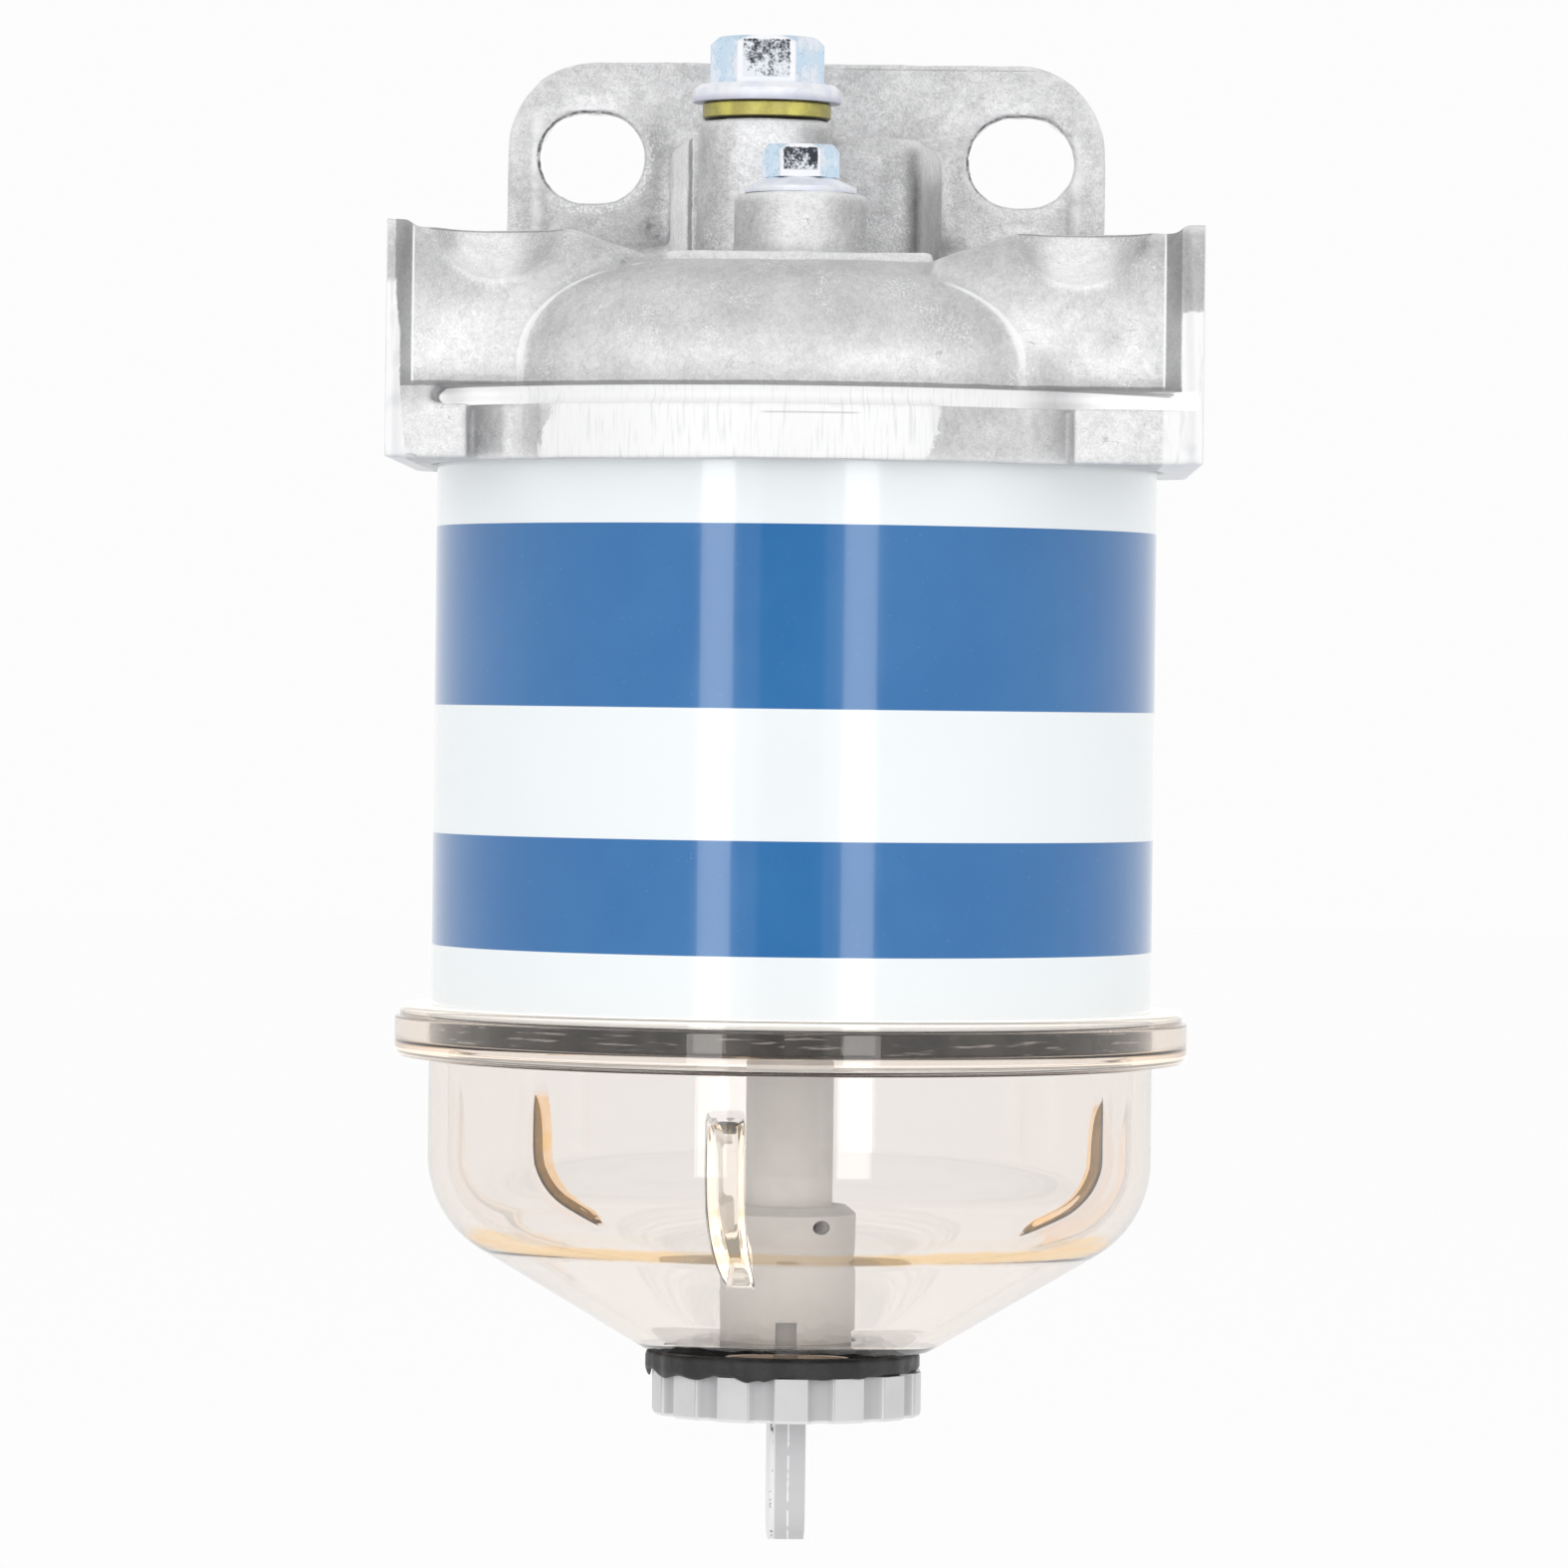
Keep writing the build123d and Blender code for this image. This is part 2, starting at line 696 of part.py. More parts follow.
def can_end(outer_level, direction):
    """Pressed end of the can: a rim under the rolled seam, and a dished web with flow holes."""
    seat = outer_level - direction * can_wall
    web = seat - direction * end_plate_dish
    rim_inner = can_radius - can_wall - end_plate_seat_width
    with BuildPart() as plate:
        with BuildSketch(section_plane):
            with BuildLine():
                Polyline(
                    (tube_radius, web),
                    (rim_inner, web),
                    (rim_inner, seat),
                    (can_radius - can_wall, seat),
                    (can_radius - can_wall, seat - direction * end_plate_gauge),
                    (rim_inner + end_plate_gauge, seat - direction * end_plate_gauge),
                    (rim_inner + end_plate_gauge, web - direction * end_plate_gauge),
                    (tube_radius, web - direction * end_plate_gauge),
                    (tube_radius, web),
                )
            make_face()
        revolve(axis=filter_axis)
        with BuildSketch(level(web - direction * 2 * end_plate_gauge)):
            with PolarLocations(flow_hole_circle, flow_hole_count):
                Circle(flow_hole_radius)
        extrude(amount=direction * 3 * end_plate_gauge, mode=Mode.SUBTRACT)
    return plate.part


with BuildPart() as can_top_plate:
    add(can_end(can_top, 1))
can_top_plate.part.label = "can_top_plate"
export_step(can_top_plate.part, "parts/can_top_plate.step")

with BuildPart() as can_bottom_plate:
    add(can_end(can_bottom, -1))
can_bottom_plate.part.label = "can_bottom_plate"
export_step(can_bottom_plate.part, "parts/can_bottom_plate.step")

# Tube through the middle of the can, which the cleaned fuel climbs round the bolt
can_plate_inset = can_wall + end_plate_dish
tube_top = can_top - can_plate_inset + tube_rise
tube_bottom = can_bottom + can_plate_inset - tube_rise
with BuildPart() as can_centre_tube:
    with BuildSketch(level(tube_bottom)):
        Circle(tube_radius)
        Circle(tube_radius - tube_wall, mode=Mode.SUBTRACT)
    extrude(amount=tube_top - tube_bottom)
can_centre_tube.part.label = "can_centre_tube"
export_step(can_centre_tube.part, "parts/can_centre_tube.step")

# Paper element: one coil of folded paper, whose turns show as grooves at both ends
paper_top = can_top - can_plate_inset - end_plate_gauge - paper_gap
paper_bottom = can_bottom + can_plate_inset + end_plate_gauge + paper_gap
paper_pitch = (paper_radius - tube_radius) / paper_turns
with BuildPart() as paper_element:
    with BuildSketch(section_plane):
        with BuildLine():
            top_points = [(tube_radius, paper_top)]
            bottom_points = [(tube_radius, paper_bottom)]
            for turn in range(paper_turns):
                turn_start = tube_radius + turn * paper_pitch
                top_points.append((turn_start + paper_pitch / 2, paper_top - paper_groove))
                top_points.append((turn_start + paper_pitch, paper_top))
                bottom_points.append((turn_start + paper_pitch / 2, paper_bottom + paper_groove))
                bottom_points.append((turn_start + paper_pitch, paper_bottom))
            Polyline(*top_points, *reversed(bottom_points), close=True)
        make_face()
    revolve(axis=filter_axis)
paper_element.part.label = "paper_element"
export_step(paper_element.part, "parts/paper_element.step")

# Large seals: can to head and can to bowl
with BuildPart() as head_can_seal:
    add(ring(large_seal_inner, large_seal_outer, can_top, head_seal_thickness, seal_edge_round / 2))
head_can_seal.part.label = "head_can_seal"
export_step(head_can_seal.part, "parts/head_can_seal.step")

with BuildPart() as can_bowl_seal:
    add(ring(large_seal_inner, large_seal_outer, bowl_shelf, bowl_seal_thickness, seal_edge_round / 2))
can_bowl_seal.part.label = "can_bowl_seal"
export_step(can_bowl_seal.part, "parts/can_bowl_seal.step")

# Small seal between the can's tube end and the head's centre chamber wall
tube_seal_base = can_top - can_plate_inset
tube_seal_inner = tube_radius + seal_side_gap
with BuildPart() as head_centre_seal:
    add(
        ring(
            tube_seal_inner,
            tube_seal_inner + tube_seal_width + centre_chamber_radius - tube_radius,
            tube_seal_base,
            pocket_roof - tube_seal_base,
            seal_edge_round / 2,
        )
    )
head_centre_seal.part.label = "head_centre_seal"
export_step(head_centre_seal.part, "parts/head_centre_seal.step")

# Water bowl: one clear moulding with a socket for the can, a cone, a flat floor and three upright ribs
inner_radius = bowl_radius - bowl_wall
cone_slope = tan(radians(bowl_cone_angle))
outer_corner = bowl_floor + (bowl_radius - floor_radius) * cone_slope
floor_inside = bowl_floor + bowl_wall
inner_floor_radius = floor_radius - bowl_wall * tan(radians(bowl_cone_angle / 2))
inner_corner = floor_inside + (inner_radius - inner_floor_radius) * cone_slope
rim_base = bowl_rim_top - bowl_rim_height
# Space inside the bowl, less the three upright ribs that stand on its wall
rib_top = rim_base - rib_top_gap
rib_bar_radius = rib_width / 2
with BuildPart() as bowl_space:
    with BuildSketch(section_plane) as bowl_inside:
        with BuildLine():
            Polyline(
                (0, floor_inside),
                (inner_floor_radius, floor_inside),
                (inner_radius, inner_corner),
                (inner_radius, bowl_shelf),
                (socket_radius, bowl_shelf),
                (socket_radius, bowl_rim_top),
                (0, bowl_rim_top),
                (0, floor_inside),
            )
        make_face()
        fillet(
            bowl_inside.vertices().sort_by_distance((inner_radius, inner_corner))[0],
            bowl_bend_radius - bowl_wall,
        )
    revolve(axis=filter_axis)
    for azimuth in rib_azimuths:
        rib_direction = Vector(1, 0, 0).rotate(Axis.Z, azimuth)
        with BuildSketch(Plane(origin=(0, axis_y, rib_top), x_dir=rib_direction, z_dir=(0, 0, 1))):
            with Locations((inner_radius - rib_reach + rib_bar_radius, 0)):
                Circle(rib_bar_radius)
            with Locations((inner_radius - (rib_reach - rib_bar_radius) / 2, 0)):
                Rectangle(rib_reach - rib_bar_radius + rib_width, rib_width)
        extrude(amount=-rib_length, mode=Mode.SUBTRACT)

with BuildPart() as bowl:
    with BuildSketch(section_plane) as bowl_outline:
        with BuildLine():
            Polyline(
                (0, bowl_floor),
                (floor_radius, bowl_floor),
                (bowl_radius, outer_corner),
                (bowl_radius, rim_base),
                (bowl_rim_radius, rim_base),
                (bowl_rim_radius, bowl_rim_top - bowl_rim_step),
                (bowl_rim_radius - bowl_rim_groove, bowl_rim_top - bowl_rim_step),
                (bowl_rim_radius - bowl_rim_groove, bowl_rim_top),
                (0, bowl_rim_top),
                (0, bowl_floor),
            )
        make_face()
        for corner, corner_round in (
            ((bowl_radius, outer_corner), bowl_bend_radius),
            ((bowl_rim_radius, rim_base), bowl_rim_round),
            ((bowl_rim_radius, bowl_rim_top - bowl_rim_step), bowl_rim_groove / 2),
            ((bowl_rim_radius - bowl_rim_groove, bowl_rim_top), bowl_rim_groove),
        ):
            fillet(bowl_outline.vertices().sort_by_distance(corner)[0], corner_round)
    revolve(axis=filter_axis)
    add(bowl_space.part, mode=Mode.SUBTRACT)
    with BuildSketch(level(bowl_floor)):
        Circle(column_lower_radius + column_hole_clearance)
    extrude(amount=bowl_wall, mode=Mode.SUBTRACT)
bowl.part.label = "bowl"
export_step(bowl.part, "parts/bowl.step")

# Column: grey plastic post that the centre bolt screws into, with a foot under the bowl's floor
column_step = floor_inside + column_step_rise - bowl_wall
stem_bore_top = column_step - stem_bore_web
with BuildPart() as bowl_column:
    with BuildSketch(section_plane):
        with BuildLine():
            Polyline(
                (stem_bore_radius, foot_base),
                (foot_radius, foot_base),
                (foot_radius, foot_top),
                (column_lower_radius, foot_top),
                (column_lower_radius, column_step - column_shoulder),
                (column_lower_radius - column_shoulder, column_step),
                (column_upper_radius, column_step),
                (column_upper_radius, column_top),
                (insert_radius, column_top),
                (insert_radius, column_top - insert_length),
                (bolt_radius + bolt_hole_clearance, column_top - insert_length),
                (bolt_radius + bolt_hole_clearance, bolt_tip - bolt_tip_reach),
                (0, bolt_tip - bolt_tip_reach),
                (0, stem_bore_top),
                (stem_bore_radius, stem_bore_top),
                (stem_bore_radius, foot_base),
            )
        make_face()
    revolve(axis=filter_axis)
    # Slots round the foot that let the water into the bore
    for slot_index in range(foot_slot_count):
        azimuth = foot_slot_azimuth + slot_index * 360 / foot_slot_count
        slot_plane = Plane(origin=(0, axis_y, floor_inside), z_dir=Vector(1, 0, 0).rotate(Axis.Z, azimuth))
        with BuildSketch(slot_plane) as slot_outline:
            Rectangle(foot_slot_width, 2 * foot_slot_height)
        extrude(amount=column_lower_radius + column_hole_clearance, mode=Mode.SUBTRACT)
    # Air hole near the top of the wide part
    air_plane = Plane(
        origin=(0, axis_y, column_step - air_hole_drop - air_hole_radius),
        z_dir=Vector(1, 0, 0).rotate(Axis.Z, air_hole_azimuth),
    )
    with BuildSketch(air_plane):
        Circle(air_hole_radius)
    extrude(amount=column_lower_radius, mode=Mode.SUBTRACT)
bowl_column.part.label = "bowl_column"
export_step(bowl_column.part, "parts/bowl_column.step")

# Brass insert moulded into the top of the column, which the centre bolt screws into
with BuildPart() as column_insert:
    with BuildSketch(level(column_top - insert_length)):
        Circle(insert_radius)
        Circle(bolt_radius + thread_clearance, mode=Mode.SUBTRACT)
    extrude(amount=insert_length)
column_insert.part.label = "column_insert"
export_step(column_insert.part, "parts/column_insert.step")

# Flat seal between the column's foot and the underside of the bowl
foot_seal_inner = column_lower_radius + seal_side_gap
with BuildPart() as column_foot_seal:
    add(ring(foot_seal_inner, foot_radius, foot_top, foot_seal_thickness, seal_edge_round / 3))
column_foot_seal.part.label = "column_foot_seal"
export_step(column_foot_seal.part, "parts/column_foot_seal.step")

# Black rubber ring that the drain wheel presses against the bowl's floor
with BuildPart() as drain_seal:
    add(ring(foot_radius + moving_gap, drain_seal_radius, wheel_top, drain_seal_thickness, seal_edge_round))
drain_seal.part.label = "drain_seal"
export_step(drain_seal.part, "parts/drain_seal.step")

# Drain wheel: grey plastic moulding with a lobed rim, a blade tab to turn it by and a screw stem
stem_top = wheel_top + stem_length
stem_groove_z = stem_top - stem_seal_drop
with BuildPart() as drain_wheel:
    with BuildSketch(level(wheel_base)):
        Circle(wheel_radius)
    extrude(amount=wheel_height)
    fillet(drain_wheel.faces().sort_by(Axis.Z)[0].edges(), wheel_edge)
    first_flute = wheel_turn - 90 + 180 / wheel_lobes
    with BuildSketch(level(wheel_base)):
        with PolarLocations(wheel_radius + wheel_flute_inset, wheel_lobes, start_angle=first_flute):
            Circle(wheel_flute_radius)
    extrude(amount=wheel_height, mode=Mode.SUBTRACT)
    with BuildSketch(level(wheel_base)):
        Circle(wheel_recess_radius)
    extrude(amount=wheel_recess_depth, mode=Mode.SUBTRACT)
    # Screw stem with the groove for its ring seal
    with BuildSketch(section_plane):
        with BuildLine():
            Polyline(
                (0, wheel_top),
                (stem_radius, wheel_top),
                (stem_radius, stem_top - stem_tip_chamfer),
                (stem_radius - stem_tip_chamfer, stem_top),
                (0, stem_top),
                (0, wheel_top),
            )
        make_face()
    revolve(axis=filter_axis)
    with BuildSketch(level(stem_groove_z - stem_seal_wire / 2 - thread_clearance)):
        Circle(stem_radius)
        Circle(stem_radius - stem_seal_wire, mode=Mode.SUBTRACT)
    extrude(amount=stem_seal_wire + 2 * thread_clearance, mode=Mode.SUBTRACT)
    # Blade tab under the wheel, edge-on to the front
    tab_top = wheel_base + wheel_recess_depth
    tab_plane = Plane(
        origin=(0, axis_y, (tab_top + wheel_base - tab_drop) / 2),
        x_dir=Vector(0, 1, 0).rotate(Axis.Z, wheel_turn),
        z_dir=Vector(1, 0, 0).rotate(Axis.Z, wheel_turn),
    )
    with BuildSketch(tab_plane) as tab_outline:
        Rectangle(tab_width, tab_drop + wheel_recess_depth)
        fillet(tab_outline.vertices().group_by(Axis.Y)[0], tab_corner_radius)
    extrude(amount=tab_thickness / 2, both=True)
    tab_roots = drain_wheel.edges().filter_by_position(
        Axis.Z, tab_top - fit_margin, tab_top + fit_margin
    ).filter_by(GeomType.LINE)
    fillet(tab_roots, tab_flare)
drain_wheel.part.label = "drain_wheel"
export_step(drain_wheel.part, "parts/drain_wheel.step")

# Ring seal of round section in the groove of the drain stem
with BuildPart() as drain_stem_seal:
    with BuildSketch(section_plane):
        with Locations((stem_radius - stem_seal_wire / 2, stem_groove_z)):
            Circle(stem_seal_wire / 2)
    revolve(axis=filter_axis)
drain_stem_seal.part.label = "drain_stem_seal"
export_step(drain_stem_seal.part, "parts/drain_stem_seal.step")
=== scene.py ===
import math
import bmesh
import bpy
import numpy as np
from mathutils import Matrix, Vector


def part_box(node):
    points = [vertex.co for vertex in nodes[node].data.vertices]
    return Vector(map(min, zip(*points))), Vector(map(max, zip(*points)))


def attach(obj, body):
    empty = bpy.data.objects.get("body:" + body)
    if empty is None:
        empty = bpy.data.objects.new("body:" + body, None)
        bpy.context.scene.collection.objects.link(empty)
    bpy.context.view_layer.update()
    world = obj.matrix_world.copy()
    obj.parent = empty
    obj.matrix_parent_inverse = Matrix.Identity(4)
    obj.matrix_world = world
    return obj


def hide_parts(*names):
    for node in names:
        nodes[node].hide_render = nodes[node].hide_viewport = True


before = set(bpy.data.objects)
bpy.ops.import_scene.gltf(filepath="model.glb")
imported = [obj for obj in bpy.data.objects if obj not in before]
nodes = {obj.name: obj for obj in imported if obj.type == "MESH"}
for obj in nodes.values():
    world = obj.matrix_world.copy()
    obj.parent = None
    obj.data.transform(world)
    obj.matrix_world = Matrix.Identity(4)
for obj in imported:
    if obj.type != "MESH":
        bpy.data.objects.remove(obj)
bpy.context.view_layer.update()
mm = 0.001
axis_y = -51.0 * mm

# Studio. The filter hangs in a white room, lit by the room and by two tall strip boxes beside the camera. A
# curtain behind the camera gives the shiny parts something darker to mirror. The camera is a long lens a good
# metre away, level with the can's middle and turned a little anticlockwise, as in the photograph.
camera_place = (0.0158, -1.0870, -0.0674)
camera_yaw = math.radians(0.937)
camera_pitch = math.radians(0.548)
camera_roll = math.radians(0.684)
strip_distance = 1.32
strips = {"left_strip": (math.radians(-23.5), 3.0), "right_strip": (math.radians(21.0), 2.7)}
strip_size = (0.24, 1.1)
room_level = 0.95
background_level = 0.98
floor_white = 0.80
floor_height = -0.25
floor_half = 6.0
curtain_y = -1.75
curtain_half = 0.30
curtain_base = -0.50
curtain_top = 0.35
white = (1, 1, 1, 1)
black = (0, 0, 0, 1)


class Output:
    """One output of a shader node. Sums, differences and products with it become Math nodes in its tree."""

    def __init__(self, tree, socket):
        self.tree = tree
        self.socket = socket

    def step(self, operation, *others):
        """One step of arithmetic on this output and these values."""
        return output(self.tree, "Math", (self, *others), operation=operation)

    def __add__(self, other):
        return self.step("ADD", other)

    def __sub__(self, other):
        return self.step("SUBTRACT", other)

    def __rsub__(self, other):
        return output(self.tree, "Math", (other, self), operation="SUBTRACT")

    def __mul__(self, other):
        return self.step("MULTIPLY", other)

    def __truediv__(self, other):
        return self.step("DIVIDE", other)

    def __abs__(self):
        return self.step("ABSOLUTE")


def add_node(tree, kind, inputs=(), **settings):
    """Adds a shader node. Its inputs are given in order, or by name, as plain values or as outputs."""
    made = tree.nodes.new("ShaderNode" + kind)
    for key, value in settings.items():
        setattr(made, key, value)
    for key, value in inputs.items() if isinstance(inputs, dict) else enumerate(inputs):
        if isinstance(value, Output):
            tree.links.new(value.socket, made.inputs[key])
        else:
            made.inputs[key].default_value = value
    return made


def output(tree, kind, inputs=(), pick=0, **settings):
    """One output of a new node, the first unless another is picked."""
    return Output(tree, add_node(tree, kind, inputs, **settings).outputs[pick])


def either(first, *others):
    """The highest of these masks."""
    for other in others:
        first = first.step("MAXIMUM", other)
    return first


def ramp(value, low, high, start=0.0, end=1.0):
    """A smooth S from start to end as the value goes from low to high."""
    return output(value.tree, "MapRange", [value, low, high, start, end], interpolation_type="SMOOTHSTEP")


def fall(value, low, high):
    """A smooth S from 1 to 0 as the value goes from low to high."""
    return ramp(value, low, high, 1.0, 0.0)


def rays(tree, *kinds):
    """1 for the rays of these kinds."""
    paths = add_node(tree, "LightPath").outputs
    return either(*(Output(tree, paths[f"Is {kind} Ray"]) for kind in kinds))


class Finish:
    """A material, with its tree and its shader, whose plain values are given."""

    def __init__(self, name, base, roughness, metallic=0.0, **plain):
        self.material = bpy.data.materials.new(name)
        self.material.use_nodes = True
        self.tree = self.material.node_tree
        self.shader = self.tree.nodes["Principled BSDF"]
        plain.update(base_color=base, roughness=roughness, metallic=metallic)
        for key, value in plain.items():
            self.socket(key).default_value = value

    def socket(self, key):
        """The shader's input of this name, as in specular_ior_level."""
        return self.shader.inputs[key.replace("_", " ").title().replace("Ior", "IOR")]

    def feed(self, **outputs):
        """Links outputs to the shader's inputs of these names."""
        for key, value in outputs.items():
            self.tree.links.new(value.socket, self.socket(key))

    def mix_surface(self, share, other):
        """Shows another shader where the share is 1."""
        own = Output(self.tree, self.shader.outputs[0])
        surface = output(self.tree, "MixShader", [share, own, other])
        self.tree.links.new(surface.socket, self.tree.nodes["Material Output"].inputs["Surface"])


def dress(finish, *pieces):
    """Gives these pieces this finish alone."""
    for piece in pieces:
        piece.data.materials.clear()
        piece.data.materials.append(finish.material)


def add_object(name, data):
    """A new object in the scene."""
    made = bpy.data.objects.new(name, data)
    bpy.context.scene.collection.objects.link(made)
    return made


camera_data = bpy.data.cameras.new("studio_camera")
camera_data.lens = 199.0
camera_data.sensor_width = 36.0
camera_data.clip_start = 0.05
camera_data.clip_end = 20.0
camera = add_object("studio_camera", camera_data)
camera.matrix_world = (
    Matrix.Translation(camera_place)
    @ Matrix.Rotation(camera_yaw, 4, "Z")
    @ Matrix.Rotation(math.pi / 2 - camera_pitch, 4, "X")
    @ Matrix.Rotation(camera_roll, 4, "Z")
)
bpy.context.scene.camera = camera
bpy.context.scene.view_settings.view_transform = "Standard"

for strip_name, (strip_turn, strip_radiance) in strips.items():
    strip_data = bpy.data.lights.new(strip_name, "AREA")
    strip_data.shape = "RECTANGLE"
    strip_data.size, strip_data.size_y = strip_size
    strip_data.energy = strip_radiance * math.pi * strip_size[0] * strip_size[1]
    strip = add_object(strip_name, strip_data)
    strip.matrix_world = (
        Matrix.Translation((0, axis_y, camera_place[2]))
        @ Matrix.Rotation(strip_turn, 4, "Z")
        @ Matrix.Translation((0, -strip_distance, 0))
        @ Matrix.Rotation(math.pi / 2, 4, "X")
    )
    strip.visible_camera = False

world = bpy.data.worlds.new("white_room")
world.use_nodes = True
room = world.node_tree
room.nodes.clear()
direction = output(room, "TexCoord", pick="Generated")
mirrored_level = ramp(output(room, "SeparateXYZ", [direction], "Z"), 0.15, 0.95, 0.98, 0.84)
lit, mirrored, shown = (
    output(room, "Background", {"Strength": level, "Color": white})
    for level in (room_level, mirrored_level, background_level)
)
unseen = output(room, "MixShader", [rays(room, "Glossy"), lit, mirrored])
whole = output(room, "MixShader", [rays(room, "Camera", "Transmission"), unseen, shown])
add_node(room, "OutputWorld", [whole])
bpy.context.scene.world = world


def flat_sheet(name, corners):
    """One four-cornered face through these corners."""
    mesh = bpy.data.meshes.new(name)
    mesh.from_pydata(corners, [], [(0, 1, 2, 3)])
    return add_object(name, mesh)


square = ((-1, -1), (1, -1), (1, 1), (-1, 1))
floor = flat_sheet("studio_floor", [(x * floor_half, y * floor_half, floor_height) for x, y in square])
floor_paint = Finish("floor_paint", (floor_white, floor_white, floor_white, 1), 0.9, emission_color=white)
floor_lift = background_level - 1.02 * floor_white * room_level
floor_paint.feed(emission_strength=rays(floor_paint.tree, "Camera", "Glossy", "Transmission") * floor_lift)
underside = output(floor_paint.tree, "NewGeometry", pick="Backfacing")
floor_paint.mix_surface(underside, output(floor_paint.tree, "BsdfTransparent"))
dress(floor_paint, floor)

curtain = flat_sheet("dark_curtain", [
    (-curtain_half, curtain_y, curtain_base), (curtain_half, curtain_y, curtain_base),
    (curtain_half, curtain_y, curtain_top), (-curtain_half, curtain_y, curtain_top),
])
dress(Finish("curtain_cloth", (0.55, 0.55, 0.56, 1), 1.0), curtain)
curtain.visible_camera = False
curtain.visible_diffuse = False
curtain.visible_shadow = False
curtain.visible_transmission = False

# Cast head: one aluminium casting with a sand-blasted skin, soft corners and small flaws, on which the rim,
# its groove, the end plates and the port faces are machined bright. It bolts to the wall through its two
# slots.
head_voxel = 0.45 * mm
head_triangles = 185000
cast_rounding = 4
machined_rounding = 1
rim_radius = 47.3 * mm
groove_top = -31.3 * mm
groove_base = -33.3 * mm
dome_crown = -16.3 * mm
dome_shoulder = 12.0 * mm
dome_radius = 46.5 * mm
left_face_y = -85.0 * mm
right_face_y = -89.3 * mm
slot_pitch = 53.5 * mm
web_y = -6.2 * mm
border_y = -7.0 * mm
web_half_width = 33.5 * mm
slot_rim_radius = 6.3 * mm
pad_corner_x = -13.8 * mm
step_lines = (-44.15 * mm, 42.65 * mm)
step_feet = ((-45.25, 0.80), (43.70, 0.75))
plate_fronts = (-84.5 * mm, -83.5 * mm)
flange_fronts = (-9.5 * mm, -8.5 * mm)
rim_arc = (-28.5 * mm, 16.4 * mm)
groove_tip_x = -41.9 * mm
left_plate = (-46.2 * mm, -19.8 * mm)
right_plate = (44.6 * mm, -22.4 * mm)
cutter_marks = ((-34.4, 0.05, -2.5, 6.8), (-39.7, 0.06, -7.0, 8.0))
scoop_balls = ((-34.6, -85.0, -11.6, 7.5), (32.8, -89.3, -11.1, 8.1))
dirt_spots = ((-26.2, -84.9, -14.7, 0.8), (-22.9, -84.6, -15.2, 0.8), (-21.4, -84.6, -15.9, 0.6),
              (-19.9, -84.8, -16.5, 0.6), (-18.2, -6.2, -9.9, 1.2), (-19.6, -6.2, -8.4, 0.8))
# Painted glints, each as its centre's x, y and z and its reach in mm.
glint_spots = ((-26.6, -84.9, -14.2, 0.9), (-21.7, -84.6, -15.4, 1.0), (-17.4, -6.8, -11.6, 1.3),
               (-17.2, -6.2, -9.2, 0.9))
# Soft spots of tone, stains and painted light and shade on the flange, dome and blocks, each as its centre's
# x and z, its reach across and up, and its change.
flange_spots = ((-25, 6.6, 8, 2.8, 0.22), (-18.6, -1, 1.1, 7, -0.22), (-35.6, 6, 1.6, 14, -0.05),
                (23, 7.0, 9, 2.6, 0.16), (17.0, -1.5, 1.5, 4, 0.24), (17, -12, 2.2, 3.5, -0.28),
                (-15.0, 2.8, 1.5, 4.2, 0.30), (34.6, 0, 2.4, 9, 0.06), (-16.8, -10.5, 1.6, 2.2, -0.16),
                (12.6, 1.0, 2.0, 1.5, -0.22), (-17.5, -6, 0.6, 6, 0.25), (23.8, -9, 6.0, 3.2, 0.30),
                (-23, -9, 6.5, 4, -0.10), (-18.6, -9.4, 1.6, 1.8, -0.14))
dome_spots = ((10, -28.6, 9, 1.6, 0.16), (-12, -28, 9, 1.8, 0.09), (-29, -27, 2.6, 5, -0.14),
              (24, -23, 5, 5, -0.10))
block_spots = ((36.4, -25.0, 2.1, 1.0, -0.32), (30.1, -28.2, 2.4, 1.5, -0.34), (42.0, -25.8, 1.6, 2.4, -0.14),
               (-22.5, -18.2, 4, 1.6, 0.07))


def mesh_arrays(mesh):
    """Vertex places, vertex normals and edge ends of a mesh, as arrays."""
    places = np.empty(len(mesh.vertices) * 3, np.float32)
    mesh.vertices.foreach_get("co", places)
    normals = np.empty(len(mesh.vertices) * 3, np.float32)
    mesh.vertex_normals.foreach_get("vector", normals)
    ends = np.empty(len(mesh.edges) * 2, np.int32)
    mesh.edges.foreach_get("vertices", ends)
    return places.reshape(-1, 3).astype(float), normals.reshape(-1, 3).astype(float), ends.reshape(-1, 2)


def neighbour_mean(values, ends):
    """Mean of each vertex's neighbours along the mesh's edges, for a column of values or for several."""
    count = np.bincount(ends.ravel(), minlength=len(values)).clip(1)
    columns = []
    for column in np.atleast_2d(values.T):
        total = np.bincount(ends[:, 0], column[ends[:, 1]], len(column))
        total += np.bincount(ends[:, 1], column[ends[:, 0]], len(column))
        columns.append(total / count)
    return np.array(columns).T.reshape(values.shape)


def soften(values, ends):
    """The values drawn twice halfway to their neighbours' mean."""
    for step in range(2):
        values = 0.5 * values + 0.5 * neighbour_mean(values, ends)
    return values


def smooth_ramp(values, low, high):
    """0 below low, 1 above high, and a smooth S between."""
    share = np.clip((values - low) / (high - low), 0, 1)
    return share * share * (3 - 2 * share)


def waves(places, pitch, seed):
    """A smooth random field between about -1 and 1: the mean of sine waves of this pitch in random
    directions."""
    draw = np.random.default_rng(seed)
    directions = draw.normal(size=(9, 3))
    directions /= np.linalg.norm(directions, axis=1, keepdims=True)
    pitches = pitch * draw.uniform(0.6, 1.5, 9)
    phases = draw.uniform(0, 2 * math.pi, 9)
    return np.sin(2 * math.pi * (places @ directions.T) / pitches + phases).mean(axis=1) * 2.1


def store_mask(mesh, name, values):
    """Keeps one value for each vertex, for the material to read."""
    mesh.attributes.new(name, "FLOAT", "POINT").data.foreach_set("value", values.astype(np.float32))


